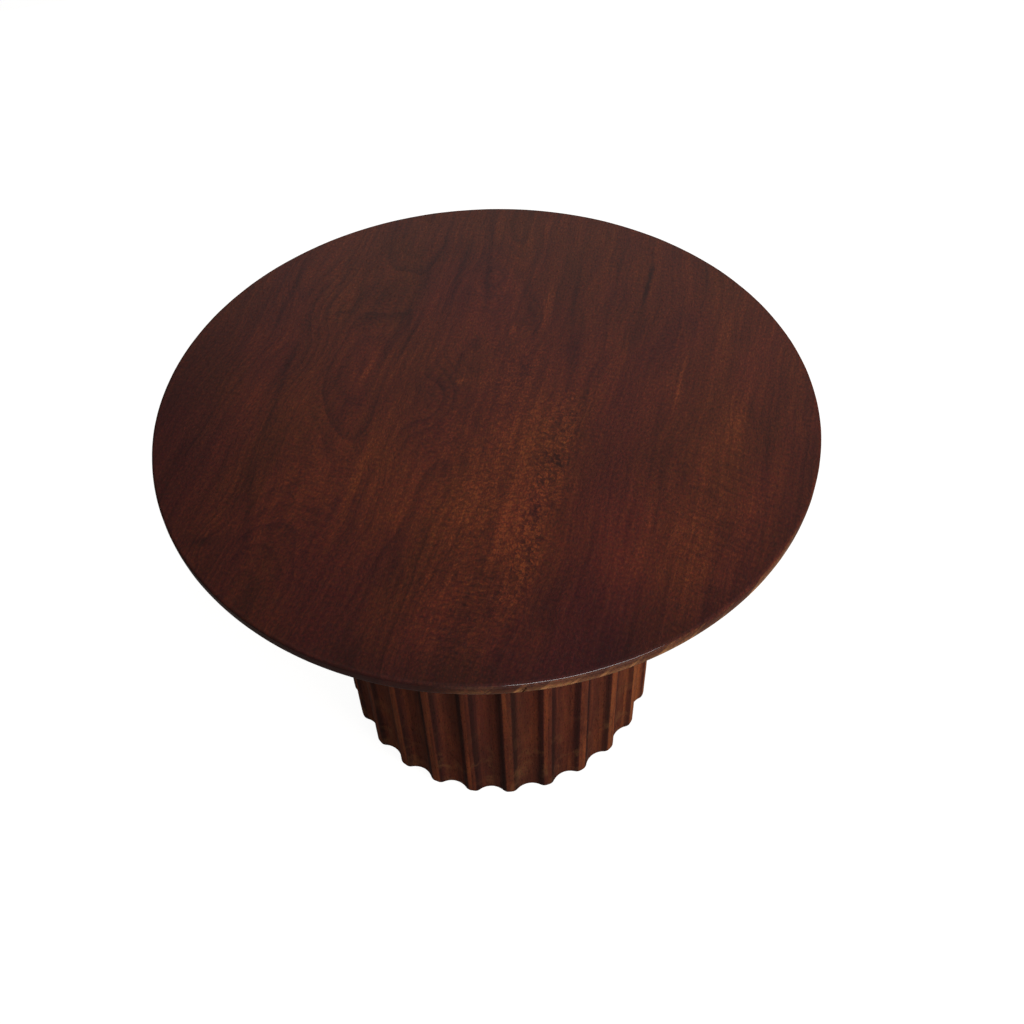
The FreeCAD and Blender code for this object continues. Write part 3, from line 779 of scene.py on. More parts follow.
@dataclass(frozen=True)
class MetalFinish:
    """Turned or pressed metal with a slightly uneven plating."""

    name: str
    colour: Colour
    worn: Colour
    roughness: float

    def make(self) -> Material:
        """Build the material.

        Returns:
            The material.
        """
        tree = Paint(self.name)
        coarse, fine = (tree.group(fine_speckle(), place=tree.place, scale=scale).speckle
                        for scale in (160.0, 1500.0))
        return tree.finish(tree.principled(
            Base_Color=tree.mix(tree.step(coarse, 0.42, 0.7), self.colour, self.worn),
            Roughness=tree.total(self.roughness - 0.12, (coarse, 0.2), (fine, 0.06)),
            Metallic=1.0, Normal=tree.bump(fine, 0.00003, 0.5)))


@dataclass(frozen=True)
class SoftFinish:
    """Moulded plastic or pressed felt: a dull colour with a fine surface."""

    name: str
    dark: Colour
    light: Colour
    roughness: float
    speckle: float
    relief: float
    sheen: float = 0.0

    def make(self) -> Material:
        """Build the material.

        Returns:
            The material.
        """
        tree = Paint(self.name)
        coarse, fine = (tree.group(fine_speckle(), place=tree.place, scale=scale).speckle
                        for scale in (self.speckle / 9, self.speckle))
        share = tree.total((fine, 0.7), (coarse, 0.5), -0.1).clamped()
        return tree.finish(tree.principled(
            Base_Color=tree.mix(share, self.dark, self.light),
            Roughness=coarse.scaled(0.12, self.roughness - 0.06),
            Sheen_Weight=self.sheen, Normal=tree.bump(fine, self.relief, 0.8)))


def take(piece: Piece) -> Piece:
    """Select one piece alone and make it the active one.

    Args:
        piece: The piece.

    Returns:
        The piece.
    """
    bpy.ops.object.select_all(action="DESELECT")
    piece.select_set(True)
    bpy.context.view_layer.objects.active = piece
    return piece


def start(name: str, add: Callable[..., object], **settings: object) -> Piece:
    """Add a primitive and put its place into its mesh.

    Args:
        name: The name of the piece.
        add: The tool that adds it.
        settings: What the tool is told.

    Returns:
        The piece.
    """
    bpy.ops.object.select_all(action="DESELECT")
    add(**settings)
    piece = bpy.context.object
    piece.name = piece.data.name = name
    bpy.ops.object.transform_apply(location=True, rotation=True, scale=True)
    return piece


def copy(piece: Piece, name: str, turn: float = 0.0) -> Piece:
    """Copy a piece, mesh and all, and turn the copy's mesh about the Z axis.

    Args:
        piece: The piece.
        name: The name of the copy.
        turn: How far to turn the copy.

    Returns:
        The copy.
    """
    twin = piece.copy()
    twin.data = piece.data.copy()
    twin.name = twin.data.name = name
    bpy.context.scene.collection.objects.link(twin)
    take(twin).rotation_euler.z = turn
    bpy.ops.object.transform_apply(location=False, rotation=True, scale=False)
    return twin


@contextmanager
def editing(piece: Piece, kind: str = "FACE") -> Iterator[None]:
    """Open a piece in edit mode with everything selected, and close it again.

    Args:
        piece: The piece.
        kind: What is selected: VERT, EDGE or FACE.
    """
    take(piece)
    bpy.ops.object.mode_set(mode="EDIT")
    select_all(kind)
    try:
        yield
    finally:
        bpy.ops.object.mode_set(mode="OBJECT")


def select_all(kind: str = "FACE") -> None:
    """Select all vertices, edges or faces of the open piece."""
    bpy.ops.mesh.select_mode(type=kind)
    bpy.ops.mesh.select_all(action="SELECT")


def select(piece: Piece, kind: str, wanted: Test) -> None:
    """Select the edges or faces of an open piece that pass a test, and nothing else.

    Args:
        piece: The piece, open in edit mode.
        kind: EDGE or FACE.
        wanted: Given the corners' places and the normal, whether to select.
    """
    bpy.ops.mesh.select_mode(type=kind)
    bpy.ops.mesh.select_all(action="DESELECT")
    mesh = bmesh.from_edit_mesh(piece.data)
    for part in mesh.edges if kind == "EDGE" else mesh.faces:
        if wanted([vert.co for vert in part.verts], part.normal if kind == "FACE" else Vector()):
            part.select_set(True)
    mesh.select_flush_mode()
    bmesh.update_edit_mesh(piece.data)


def modify(piece: Piece, kind: str, **settings: object) -> None:
    """Add a modifier to a piece and apply it.

    Args:
        piece: The piece.
        kind: The modifier's type.
        settings: Its properties.
    """
    take(piece)
    modifier = piece.modifiers.new(kind.lower(), kind)
    for name, setting in settings.items():
        setattr(modifier, name, setting)
    bpy.ops.object.modifier_apply(modifier=modifier.name)


def cut(piece: Piece, cutter: Piece) -> None:
    """Cut one piece out of another."""
    modify(piece, "BOOLEAN", operation="DIFFERENCE", object=cutter, solver="EXACT")


def join(pieces: list[Piece], name: str) -> Piece:
    """Join pieces into one object.

    Args:
        pieces: The pieces.
        name: The name of the result.

    Returns:
        The joined piece.
    """
    take(pieces[0])
    for piece in pieces:
        piece.select_set(True)
    bpy.ops.object.join()
    pieces[0].name = pieces[0].data.name = name
    return pieces[0]


def wear(piece: Piece, shares: dict[int, float], grain: float, depth: float, middle: float) -> None:
    """Make some vertices of a piece slightly uneven, as hand work and use do.

    Args:
        piece: The piece.
        shares: How much each vertex takes part, 0 to 1, by its number.
        grain: The size of the unevenness.
        depth: How far it goes at most.
        middle: What stays in place: 0.5 goes both ways, 1 goes only inwards.
    """
    group = piece.vertex_groups.new(name="worn")
    for number, share in shares.items():
        group.add([number], share, "REPLACE")
    clouds = bpy.data.textures.new("unevenness", "CLOUDS")
    clouds.noise_scale = grain
    modify(piece, "DISPLACE", texture=clouds, texture_coords="GLOBAL", strength=depth, mid_level=middle,
           vertex_group=group.name)
    bpy.data.textures.remove(clouds)
    piece.vertex_groups.clear()


def deliver(piece: Piece, material: Material, node: str, crease: float) -> None:
    """Smooth a finished piece, dress it and tell the frame what it stands for.

    Args:
        piece: The piece.
        material: Its material.
        node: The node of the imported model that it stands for.
        crease: The least angle, in degrees, of an edge that stays sharp.
    """
    take(piece)
    bpy.ops.object.shade_smooth_by_angle(angle=math.radians(crease))
    piece.data.materials.clear()
    piece.data.materials.append(material)
    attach(piece, "root")
    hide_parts(node)
    log.info("%s stands for %s", piece.name, node)


def dress(material: Material, *nodes: str) -> None:
    """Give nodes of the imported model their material.

    Args:
        material: The material.
        nodes: The names of the nodes.
    """
    for node in nodes:
        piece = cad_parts[node]
        piece.data.materials.clear()
        piece.data.materials.append(material)
        log.info("%s dressed in %s", node, material.name)


def round_the_axis(radius: float, angle: float, height: float) -> Triple:
    """Turn a distance from the Z axis, an angle and a height into a place."""
    return (radius * math.cos(angle), radius * math.sin(angle), height)


def at_level(height: float) -> Test:
    """Make the test that all corners of an edge or face are at one height."""
    return lambda places, _: all(abs(place.z - height) < TOUCHING for place in places)


TOP_FIGURE = (
    # broad zones
    Patch(0.0, -0.4, 0.42, 0.17, -0.18, 0.0, 0.0),
    Patch(-0.4, -0.15, 0.13, 0.26, -0.15, 0.0, 0.0),
    Patch(-0.28, -0.22, 0.11, 0.13, -0.07, 0.0, 0.2),
    Patch(0.39, -0.12, 0.07, 0.24, -0.1, 0.0, 0.2),
    Patch(0.0, 0.33, 0.4, 0.08, 0.0, 0.0, 0.2, 0.4),
    Patch(0.02, -0.2, 0.095, 0.21, 0.05, 0.0, 0.6, 0.2),
    Patch(0.062, -0.18, 0.058, 0.23, 0.05, 0.0, 0.5, 0.2),
    Patch(0.064, -0.02, 0.04, 0.07, 0.05, 0.0, 0.7, 0.2),
    Patch(0.165, -0.1, 0.036, 0.23, -0.07, 0.0, 0.3, -0.2),
    Patch(0.2, -0.3, 0.09, 0.07, -0.08, 0.0, 0.3, -0.3),
    Patch(0.2, -0.19, 0.05, 0.09, 0.05, 0.0, 0.8, -0.3),
    Patch(0.3, -0.08, 0.06, 0.2, 0.03, 0.0, 0.4, 0.2),
    Patch(-0.18, 0.2, 0.06, 0.1, -0.06, 0.0, 0.4, 0.4),
    Patch(-0.05, -0.02, 0.06, 0.06, -0.08, 0.0, 0.4, -0.4),
    Patch(-0.06, 0.2, 0.1, 0.12, -0.02, 0.0, 0.6, -0.4),
    Patch(-0.36, 0.0, 0.04, 0.3, -0.08, 0.0, 0.2),
    Patch(-0.17, -0.13, 0.07, 0.1, 0.04, 0.0, 0.8, 0.3),
    Patch(0.15, -0.34, 0.04, 0.035, 0.08, 0.0, 0.4),
    Patch(0.06, -0.31, 0.07, 0.05, 0.06, 0.0, 0.4, -0.3),
    Patch(-0.2, -0.06, 0.06, 0.2, -0.03, 0.0, 0.3),
    Patch(-0.25, -0.273, 0.013, 0.006, -0.22, 20.0, 1.0),
    # dark streaks
    Patch(-0.306, 0.14, 0.0045, 0.062, -0.2, 2.0),
    Patch(-0.254, -0.04, 0.0045, 0.08, -0.16, 6.0),
    Patch(-0.226, -0.2, 0.0055, 0.06, -0.16, 18.0),
    Patch(-0.228, 0.126, 0.013, 0.004, -0.14, 20.0),
    Patch(-0.142, 0.16, 0.006, 0.13, -0.19, -3.0),
    Patch(-0.126, 0.088, 0.003, 0.05, -0.2, -2.0),
    Patch(-0.097, 0.23, 0.0045, 0.07, -0.18, 2.0),
    Patch(-0.064, 0.272, 0.005, 0.1, -0.2, 11.0),
    Patch(-0.052, 0.06, 0.0035, 0.045, -0.14, -5.0),
    Patch(0.012, 0.19, 0.009, 0.06, -0.18, 22.0),
    Patch(0.07, 0.19, 0.004, 0.09, -0.14, 7.0),
    Patch(0.09, 0.09, 0.007, 0.06, -0.14, 0.0),
    Patch(0.155, 0.266, 0.003, 0.046, -0.34, -1.0),
    Patch(0.155, 0.18, 0.009, 0.04, -0.12, 0.0),
    Patch(0.21, -0.05, 0.003, 0.08, -0.1, 0.0),
    Patch(0.34, -0.02, 0.006, 0.05, -0.16, 4.0, 0.8),
    Patch(0.1, -0.07, 0.018, 0.016, -0.16, 0.0, 1.2),
    Patch(-0.05, -0.25, 0.02, 0.04, -0.12, 0.0, 0.8, -0.3),
    # bright streaks
    Patch(-0.115, -0.165, 0.006, 0.09, 0.12, 0.0, 0.4, 0.3),
    Patch(-0.126, 0.044, 0.0022, 0.03, 0.13, -4.0),
    Patch(-0.161, 0.02, 0.003, 0.04, 0.1, -4.0),
    Patch(-0.04, 0.034, 0.004, 0.007, 0.3, -40.0),
    Patch(0.0, 0.142, 0.003, 0.012, 0.22, 0.0),
    Patch(0.224, 0.09, 0.003, 0.05, 0.16, 0.0),
    Patch(0.224, -0.16, 0.007, 0.06, 0.12, 0.0),
    Patch(0.31, 0.01, 0.016, 0.035, 0.08, 0.0, 1.0),
    Patch(-0.285, -0.01, 0.01, 0.1, 0.04, 0.0),
)
TOP_CURLS = (
    Curl(Patch(0.045, -0.16, 0.085, 0.23, 1.0, 0.0, 0.4), 90.0, 110.0, -0.1, 0.1, 0.1, 0.13),
    Curl(Patch(0.098, -0.13, 0.02, 0.17, 1.0, 0.0, 0.8), 110.0, 95.0, 0.35, 0.26, 0.24, 0.18),
    Curl(Patch(0.03, 0.07, 0.04, 0.06, 1.0, 0.0, 0.6), 120.0, 120.0, -0.3, 0.06, 0.16, 0.08),
    Curl(Patch(0.06, -0.32, 0.06, 0.07, 1.0, 0.0, 0.3), 26.0, 170.0, 0.05, 0.14, 0.05, 0.1),
    Curl(Patch(0.3, -0.15, 0.06, 0.16, 1.0, 0.0, 0.2), 20.0, 150.0, 0.35, 0.16, 0.05, 0.06),
    Curl(Patch(-0.04, -0.05, 0.04, 0.04, 1.0, 0.0, 0.4), 10.0, 220.0, 0.6, 0.08, 0.03),
    Curl(Patch(-0.15, -0.2, 0.08, 0.12, 1.0, 0.0, 0.4), 60.0, 120.0, 0.2, 0.1, 0.08, 0.04),
)
BOARD_FINISHES = (
    BoardFinish("top_board_wood_1", 0.47, -0.52, -0.12, 0.007, 11.0),
    BoardFinish("top_board_wood_2", 0.48, -0.285, -0.03, 0.006, 23.0, 0.24,
                (Knot(-0.25, 0.14, 0.04, 0.016, 0.3), Knot(-0.25, -0.273, 0.02, 0.012, 0.5))),
    BoardFinish("top_board_wood_3", 0.47, -0.18, -0.06, 0.0055, 37.0, 0.22,
                (Knot(-0.18, 0.17, 0.048, 0.018, 0.4), Knot(-0.19, -0.14, 0.062, 0.022, 0.4))),
    BoardFinish("top_board_wood_4", 0.47, -0.04, -0.045, 0.0055, 41.0, 0.24,
                (Knot(-0.06, -0.01, 0.044, 0.022, 0.45), Knot(-0.05, 0.235, 0.036, 0.022, 0.35))),
    BoardFinish("top_board_wood_5", 0.47, 0.06, -0.09, 0.006, 53.0, 0.18,
                (Knot(0.014, 0.16, 0.024, 0.016, 0.4),)),
    BoardFinish("top_board_wood_6", 0.46, 0.36, -0.22, 0.005, 67.0, 0.16),
    BoardFinish("top_board_wood_7", 0.48, 0.18, -0.15, 0.006, 71.0, 0.16,
                (Knot(0.3, 0.06, 0.026, 0.014, 0.3),)),
    BoardFinish("top_board_wood_8", 0.46, 0.25, -0.15, 0.006, 83.0, 0.16),
)


@dataclass
class TableTop:
    """The round top: one disc with a rounded rim, sawn into eight boards."""

    radius: float = 0.400
    height: float = 0.560
    thickness: float = 0.018
    upper_rounding: float = 0.0035
    upper_steps: int = 6
    lower_rounding: float = 0.006
    lower_steps: int = 7
    facets: int = 360
    seams: tuple[float, ...] = (-0.320, -0.216, -0.112, 0.0, 0.124, 0.232, 0.344)
    dowel_shares: tuple[float, ...] = (-0.62, 0.0, 0.62)
    dowel_hole: tuple[float, float] = (0.0041, 0.042)
    insert_hole: tuple[float, float] = (0.0051, 0.013)
    insert_circle: float = 0.165
    insert_count: int = 8
    hole_facets: int = 24
    check_angle: float = -70.2
    check_lean: float = -30.0
    check_size: Triple = (0.009, 0.0034, 0.0105)
    check_drop: float = 0.0115
    wear_blend: float = 0.002
    wear_grain: float = 0.045
    wear_depth: float = 0.0005
    crease: float = 30.0

    @property
    def underside(self) -> float:
        """The height of the top's underside."""
        return self.height - self.thickness

    def build(self) -> None:
        """Build and dress the boards."""
        disc, holes = self._shape_disc(), self._shape_holes()
        edges = (-self.radius, *self.seams, self.radius)
        for number, finish in enumerate(BOARD_FINISHES, start=1):
            left, right = edges[number - 1], edges[number]
            board = self._saw_board(disc, f"board_{number}", left, right)
            cut(board, holes)
            material = finish.make(left, right, self.radius, self.height)
            deliver(board, material, f"top_board_{number}", self.crease)
        bpy.data.objects.remove(disc)
        bpy.data.objects.remove(holes)

    def _shape_disc(self) -> Piece:
        """Shape the whole disc, with both edges rounded and the rim slightly worn.

        Returns:
            The disc.
        """
        disc = start("top_disc", bpy.ops.mesh.primitive_circle_add, vertices=self.facets,
                     radius=self.radius, fill_type="NGON", location=(0.0, 0.0, self.underside))
        with editing(disc):
            bpy.ops.mesh.extrude_region_move(TRANSFORM_OT_translate={"value": (0.0, 0.0, self.thickness)})
            select_all()
            bpy.ops.mesh.normals_make_consistent(inside=False)
            for level, rounding, steps in ((self.height, self.upper_rounding, self.upper_steps),
                                           (self.underside, self.lower_rounding, self.lower_steps)):
                select(disc, "EDGE", at_level(level))
                bpy.ops.mesh.bevel(offset=rounding, segments=steps, affect="EDGES")
                select(disc, "FACE", at_level(level))
                bpy.ops.mesh.inset(thickness=rounding / 4)
        worn_from = self.radius - self.upper_rounding
        worn = {vert.index: min(1.0, (vert.co.xy.length - worn_from) / self.wear_blend)
                for vert in disc.data.vertices if vert.co.xy.length > worn_from}
        wear(disc, worn, self.wear_grain, self.wear_depth, 1.0)
        return disc

    @staticmethod
    def _saw_board(disc: Piece, name: str, left: float, right: float) -> Piece:
        """Saw one board out of the disc.

        Args:
            disc: The disc.
            name: The board's name.
            left: The X of its left seam.
            right: The X of its right seam.

        Returns:
            The board.
        """
        board = copy(disc, name)
        with editing(board):
            for seam, side in ((left, -1.0), (right, 1.0)):
                select_all()
                bpy.ops.mesh.bisect(plane_co=(seam, 0.0, 0.0), plane_no=(side, 0.0, 0.0), use_fill=True,
                                    clear_outer=True, threshold=ON_THE_SAW)
        return board

    def _shape_holes(self) -> Piece:
        """Shape what is cut out of the boards: holes for dowels and inserts, and one short check in the rim.

        Returns:
            The cutter.
        """
        holes = []
        radius, length = self.dowel_hole
        for seam in self.seams:
            for share in self.dowel_shares:
                place = (seam, share * math.sqrt(self.radius ** 2 - seam ** 2),
                         self.height - self.thickness / 2)
                holes.append(start(
                    "dowel_hole", bpy.ops.mesh.primitive_cylinder_add, vertices=self.hole_facets,
                    radius=radius, depth=length, location=place, rotation=(0.0, math.pi / 2, 0.0)))
        radius, depth = self.insert_hole
        for number in range(self.insert_count):
            angle = math.tau * (number + 0.5) / self.insert_count
            holes.append(start(
                "insert_hole", bpy.ops.mesh.primitive_cylinder_add, vertices=self.hole_facets, radius=radius,
                depth=2 * depth, location=round_the_axis(self.insert_circle, angle, self.underside)))
        angle = math.radians(self.check_angle)
        check = start(
            "rim_check", bpy.ops.mesh.primitive_cube_add, size=1.0, scale=self.check_size,
            rotation=(math.radians(self.check_lean), 0.0, angle),
            location=round_the_axis(self.radius, angle, self.height - self.check_drop))
        with editing(check):
            select(check, "EDGE", lambda places, _: (places[0] - places[1]).length < self.check_size[0] / 2
                   and all(place.xy.length < self.radius for place in places))
            bpy.ops.mesh.merge(type="COLLAPSE")
        return join([*holes, check], "top_cutter")


@dataclass
class Drum:
    """The drum: twenty-six staves with one flute each, mitred side to side."""

    stave_count: int = 26
    first_joint: float = math.radians(-3.0)
    ridge_radius: float = 0.228
    ridge_width: float = 0.015
    ridge_steps: int = 3
    corner_rounding: float = 0.011
    corner_steps: int = 5
    flute_depth: float = 0.010
    flute_steps: int = 18
    inside: float = 0.203
    foot: float = 0.002
    top: float = 0.542
    foot_rounding: float = 0.0035
    foot_steps: int = 4
    foot_depth: float = 0.006
    rebate_radius: float = 0.211
    upper_rebate: float = 0.524
    lower_rebate: float = 0.035
    rebate_facets: int = 12
    overshoot: float = 0.01
    groove_thickness: float = 0.0042
    groove_width: float = 0.016
    groove_ends: tuple[float, float] = (0.0595, 0.4995)
    levels: int = 40
    even_by_joint: float = 0.0008
    even_by_end: float = 0.002
    wear_blend: float = 0.004
    wear_grain: float = 0.05
    wear_depth: float = 0.0009
    crease: float = 38.0

    @property
    def half_pitch(self) -> float:
        """Half the angle of a stave."""
        return math.pi / self.stave_count

    def build(self) -> None:
        """Build and dress the staves."""
        material = StaveFinish("stave_wood_stained", self.first_joint, 2 * self.half_pitch,
                               self.ridge_radius, self.inside).make()
        blank = self._shape_blank()
        for number in range(1, self.stave_count + 1):
            turn = self.first_joint + (2 * number - 1) * self.half_pitch
            stave = copy(blank, f"fluted_stave_{number:02d}", turn)
            wear(stave, self._worked(stave, turn), self.wear_grain, self.wear_depth, 0.5)
            deliver(stave, material, f"stave_{number:02d}", self.crease)
        bpy.data.objects.remove(blank)

    def _worked(self, stave: Piece, turn: float) -> dict[int, float]:
        """Find the vertices on the outside of a stave that hand work leaves uneven.

        Args:
            stave: The stave.
            turn: The angle that it faces.

        Returns:
            How uneven each vertex is, 0 to 1, by its number.
        """
        joint = self.ridge_radius * math.sin(self.half_pitch)
        outward = Vector((math.cos(turn), math.sin(turn), 0.0))
        sideways = Vector((-math.sin(turn), math.cos(turn), 0.0))
        worked = {}
        for vert in stave.data.vertices:
            off = abs(vert.co.dot(sideways))
            off_end = min(vert.co.z - self.foot, self.top - vert.co.z)
            if (vert.co.dot(outward) > self.rebate_radius and off < joint - self.even_by_joint
                    and off_end > self.even_by_end):
                worked[vert.index] = min(1.0, (joint - off) / self.wear_blend)
        return worked

    def _shape_blank(self) -> Piece:
        """Shape one stave about the X axis: its section, its length, its rebates and its grooves.

        Returns:
            The stave.
        """
        blank = start("stave_blank", bpy.ops.mesh.primitive_plane_add, size=2 * self.foot,
                      location=round_the_axis(self.ridge_radius, -self.half_pitch, self.foot))
        with editing(blank, "VERT"):
            bpy.ops.mesh.merge(type="CENTER")
            self._draw_section()
            bpy.ops.mesh.edge_face_add()
            select_all()
            bpy.ops.mesh.extrude_region_move(
                TRANSFORM_OT_translate={"value": (0.0, 0.0, self.top - self.foot)})
            select_all()
            bpy.ops.mesh.normals_make_consistent(inside=False)
            select(blank, "EDGE", self._round_the_foot)
            bpy.ops.mesh.bevel(offset=self.foot_rounding, segments=self.foot_steps, affect="EDGES")
            select(blank, "EDGE", lambda places, _: abs(places[0].z - places[1].z) > self.top / 2)
            bpy.ops.mesh.subdivide(number_cuts=self.levels)
        cutter = self._shape_cutter()
        cut(blank, cutter)
        bpy.data.objects.remove(cutter)
        return blank

    def _round_the_foot(self, places: list[Vector], _: Vector) -> bool:
        """Whether an edge is at the foot of the outer face, and not in a joint."""
        at_foot = all(place.z < self.foot + TOUCHING and place.xy.length > self.inside + self.foot_depth
                      for place in places)
        first, second = (math.atan2(place.y, place.x) for place in places)
        return at_foot and self.inside * abs(first - second) > TOUCHING

    def _draw_section(self) -> None:
        """Draw the stave's section with the spin tool, from one side joint round the flute to the other.

        The blank is open in edit mode, with its first corner selected.
        """
        ridge, rounding = self.ridge_radius, self.corner_rounding
        half_flute = self.half_pitch - math.asin(self.ridge_width / 2 / ridge)
        edge_x, edge_y = ridge * math.cos(half_flute), ridge * math.sin(half_flute)
        sink = edge_x - (ridge - self.flute_depth)
        flute = (sink ** 2 + edge_y ** 2) / (2 * sink)
        centre = ridge - self.flute_depth + flute
        corner_x = ((ridge - rounding) ** 2 - (flute + rounding) ** 2 + centre ** 2) / (2 * centre)
        corner_y = math.sqrt((ridge - rounding) ** 2 - corner_x ** 2)
        on_ridge = math.atan2(corner_y, corner_x)
        to_flute = math.atan2(corner_y, centre - corner_x)
        on_flute = math.atan2(corner_y, corner_x - centre)
        ridge_turn, corner_turn = self.half_pitch - on_ridge, on_ridge + to_flute
        for steps, turn, middle in (
                (self.ridge_steps, ridge_turn, (0.0, 0.0)),
                (self.corner_steps, corner_turn, (corner_x, -corner_y)),
                (self.flute_steps, -2 * (math.pi - on_flute), (centre, 0.0)),
                (self.corner_steps, corner_turn, (corner_x, corner_y)),
                (self.ridge_steps, ridge_turn, (0.0, 0.0))):
            bpy.ops.mesh.spin(steps=steps, angle=-turn, center=(*middle, self.foot), axis=(0.0, 0.0, 1.0))
        inner = Vector((self.inside, self.inside * math.tan(self.half_pitch), self.foot))
        outer = Vector(round_the_axis(ridge, self.half_pitch, self.foot))
        bpy.ops.mesh.extrude_region_move(TRANSFORM_OT_translate={"value": inner - outer})
        bpy.ops.mesh.extrude_region_move(TRANSFORM_OT_translate={"value": (0.0, -2 * inner.y, 0.0)})
        select_all("VERT")
        bpy.ops.mesh.remove_doubles(threshold=TOUCHING)
        select_all("VERT")

    def _shape_cutter(self) -> Piece:
        """Shape what is cut out of a stave: both rebates and the grooves for the splines.

        Returns:
            The cutter.
        """
        cutters = []
        for low, high in ((self.foot - self.overshoot, self.lower_rebate),
                          (self.upper_rebate, self.top + self.overshoot)):
            cutters.append(start(
                "rebate", bpy.ops.mesh.primitive_cylinder_add, vertices=self.rebate_facets * self.stave_count,
                radius=self.rebate_radius, depth=high - low, location=(0.0, 0.0, (low + high) / 2),
                rotation=(0.0, 0.0, self.half_pitch / self.rebate_facets)))
        low, high = self.groove_ends
        reach = (self.ridge_radius + self.inside) / 2
        for angle in (-self.half_pitch, self.half_pitch):
            cutters.append(start(
                "groove", bpy.ops.mesh.primitive_cube_add, size=1.0, rotation=(0.0, 0.0, angle),
                scale=(self.groove_thickness, self.groove_width, high - low),
                location=round_the_axis(reach, angle, (low + high) / 2)))
        return join(cutters, "stave_cutter")


@dataclass
class Inside:
    """What the drum and the top hide: the plate, the ring, the pegs and the metal that fixes the top."""

    segment_count: int = 8

    def build(self) -> None:
        """Dress the hidden pieces."""
        plate = PlainWoodFinish("plate_wood", tint(120, 80, 48), tint(196, 150, 102), 0.0, 5.0)
        dress(plate.make(), "upper_plate")
        for number in range(1, self.segment_count + 1):
            turn = -math.tau * number / self.segment_count
            wood = PlainWoodFinish(f"ring_wood_{number}", tint(116, 76, 46), tint(186, 140, 94), turn,
                                   7.0 + number)
            dress(wood.make(), f"ring_segment_{number}")
        beech = PlainWoodFinish("beech", tint(168, 122, 82), tint(222, 184, 138), math.pi / 2, 3.0)
        dress(beech.make(), "top_dowels", "stave_splines")
        zinc = MetalFinish("zinc_plate", tint(190, 192, 196), tint(150, 152, 158), 0.38)
        dress(zinc.make(), "top_bolts", "top_washers", "glide_screws")
        brass = MetalFinish("turned_brass", tint(214, 176, 104), tint(168, 128, 66), 0.32)
        dress(brass.make(), "threaded_inserts")


@dataclass
class Glides:
    """The glides that the drum stands on."""

    count: int = 8
    circle: float = 0.18835
    felt_radius: float = 0.013
    felt_thickness: float = 0.002
    felt_rounding: float = 0.0006
    felt_steps: int = 3
    felt_insets: tuple[float, float] = (0.15, 0.45)
    felt_facets: int = 48
    soft_from: float = 0.9
    wear_grain: float = 0.006
    wear_depth: float = 0.0003
    crease: float = 40.0

    def build(self) -> None:
        """Dress the cups and the felts."""
        plastic = SoftFinish("moulded_plastic", tint(26, 26, 27), tint(48, 48, 50), 0.5, 700.0, 0.00004)
        dress(plastic.make(), "glide_cups")
        felt = SoftFinish("pressed_felt", tint(56, 42, 34), tint(112, 88, 70), 0.9, 1400.0, 0.0004, 0.4)
        deliver(self._press_felts(), felt.make(), "glide_felts", self.crease)

    def _press_felts(self) -> Piece:
        """Shape one felt disc with soft edges, and set its copies under the cups.

        Returns:
            All the discs as one piece.
        """
        middle = Vector((self.circle, 0.0, self.felt_thickness / 2))
        first = start("felt_pads", bpy.ops.mesh.primitive_cylinder_add, vertices=self.felt_facets,
                      radius=self.felt_radius, depth=self.felt_thickness, location=middle)
        with editing(first):
            select(first, "EDGE", lambda places, _: abs(places[0].z - places[1].z) < TOUCHING)
            bpy.ops.mesh.bevel(offset=self.felt_rounding, segments=self.felt_steps, affect="EDGES")
            for share in self.felt_insets:
                select(first, "FACE", lambda _, normal: abs(normal.z) > LEVEL)
                bpy.ops.mesh.inset(thickness=self.felt_radius * share)
        soft = {vert.index: 1.0 for vert in first.data.vertices
                if (vert.co - middle).xy.length > self.felt_radius * self.soft_from}
        wear(first, soft, self.wear_grain, self.wear_depth, 1.0)
        pads = [copy(first, f"pad_{number}", math.tau * (number + 0.5) / self.count)
                for number in range(self.count)]
        bpy.data.objects.remove(first)
        return join(pads, "felt_pads")


@dataclass(frozen=True)
class Lamp:
    """One soft lamp, with its power in watts; glossy surfaces show it if it is mirrored."""

    name: str
    place: Triple
    aim: Triple
    width: float
    height: float
    power: float
    mirrored: bool = True

    def hang(self) -> None:
        """Hang the lamp in the scene."""
        data = bpy.data.lights.new(self.name, "AREA")
        data.shape = "RECTANGLE"
        data.size, data.size_y, data.energy = self.width, self.height, self.power
        lamp = bpy.data.objects.new(self.name, data)
        lamp.location = self.place
        lamp.visible_glossy = self.mirrored
        lamp.rotation_euler = (Vector(self.aim) - Vector(self.place)).to_track_quat("-Z", "Y").to_euler()
        bpy.context.scene.collection.objects.link(lamp)


LAMPS = (
    Lamp("overhead", (0.45, -0.22, 2.6), (-0.3, 1.8, 0.56), 1.0, 0.8, 23.0),
    Lamp("from_the_right", (2.2, -1.02, 1.1), (0.0, 0.0, 0.35), 1.2, 1.0, 53.0, mirrored=False),
    Lamp("window", (1.41, -1.69, 1.95), (0.1, -0.3, 0.4), 1.8, 0.25, 19.0),
    Lamp("from_the_left", (-1.2, -2.4, 1.0), (0.0, 0.0, 0.3), 1.2, 1.0, 12.0, mirrored=False),
    Lamp("from_behind", (-1.3, 2.1, 0.28), (0.0, 0.0, 0.28), 1.4, 0.5, 24.0, mirrored=False),
    Lamp("far_wall", (0.0, 2.4, 1.8), (0.0, 0.2, 0.56), 4.0, 1.8, 17.0),
)


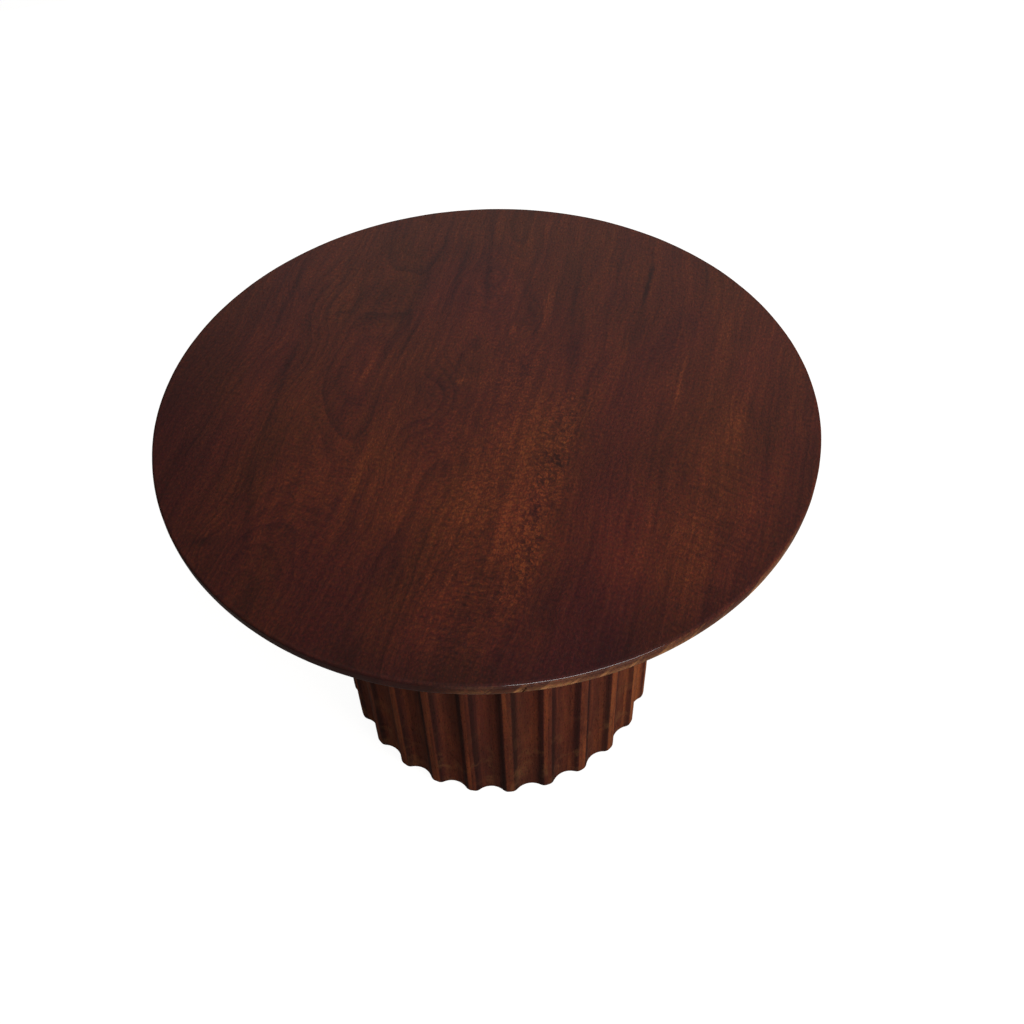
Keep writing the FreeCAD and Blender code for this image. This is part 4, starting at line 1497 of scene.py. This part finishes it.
@dataclass
class Studio:
    """The floor, the room, the lamps and the camera."""

    camera_place: Triple = (0.29770, -0.99593, 1.57555)
    camera_turn: Triple = (40.4608, 1.3744, 13.5385)
    lens: float = 42.014
    sensor: float = 36.0
    floor_size: float = 24.0
    floor_colour: Colour = tint(118, 115, 110)
    floor_glow: float = 0.93
    daylight: float = 0.11
    daylight_colour: Colour = (1.0, 0.98, 0.95, 1.0)
    nearest_seen: float = 0.05
    farthest_seen: float = 60.0

    def build(self) -> None:
        """Set up everything around the table."""
        self._lay_floor()
        self._light_room()
        for lamp in LAMPS:
            lamp.hang()
        self._set_camera()
        bpy.context.scene.view_settings.view_transform = "Standard"

    def _lay_floor(self) -> None:
        """Lay a floor that the camera sees as white with the table's shadow, and sees through from below."""
        bpy.ops.object.select_all(action="DESELECT")
        bpy.ops.mesh.primitive_plane_add(size=self.floor_size, location=(0.0, 0.0, 0.0))
        floor = bpy.context.object
        floor.name = "studio_floor"
        tree = Paint("pale_floor")
        pale = tree.principled(Base_Color=self.floor_colour, Roughness=0.9, Specular_IOR_Level=0.1)
        glow = tree.node("ShaderNodeEmission", 0, {"Strength": self.floor_glow})
        white = tree.node("ShaderNodeAddShader", 0, (pale, glow))
        from_above = tree.mix_shaders(tree.node("ShaderNodeLightPath", "Is Camera Ray"), pale, white)
        from_anywhere = tree.mix_shaders(tree.node("ShaderNodeNewGeometry", "Backfacing"), from_above,
                                         tree.node("ShaderNodeBsdfTransparent"))
        floor.data.materials.append(tree.finish(from_anywhere))

    def _light_room(self) -> None:
        """Fill the room with dim daylight, and let the camera see it as white."""
        world = bpy.data.worlds.new("room")
        bpy.context.scene.world = world
        world.use_nodes = True
        world.node_tree.nodes.clear()
        tree = Tree(world.node_tree)
        room = tree.node("ShaderNodeBackground", 0,
                         {"Color": self.daylight_colour, "Strength": self.daylight})
        white = tree.node("ShaderNodeBackground", 0, {"Color": (1.0, 1.0, 1.0, 1.0)})
        seen = tree.mix_shaders(tree.node("ShaderNodeLightPath", "Is Camera Ray"), room, white)
        tree.feed(world.node_tree.nodes.new("ShaderNodeOutputWorld").inputs["Surface"], seen)

    def _set_camera(self) -> None:
        """Stand the camera where the photographer stood."""
        data = bpy.data.cameras.new("viewer")
        data.sensor_fit, data.sensor_width, data.lens = "HORIZONTAL", self.sensor, self.lens
        data.clip_start, data.clip_end = self.nearest_seen, self.farthest_seen
        camera = bpy.data.objects.new("viewer", data)
        camera.location = self.camera_place
        camera.rotation_euler = [math.radians(turn) for turn in self.camera_turn]
        bpy.context.scene.collection.objects.link(camera)
        bpy.context.scene.camera = camera


def main() -> None:
    """Build and dress the table, then light and frame it."""
    logging.basicConfig(level=logging.INFO, format="%(name)s: %(message)s")
    for assembly in (TableTop(), Drum(), Inside(), Glides()):
        assembly.build()
    Studio().build()


if __name__ == "__main__":
    main()
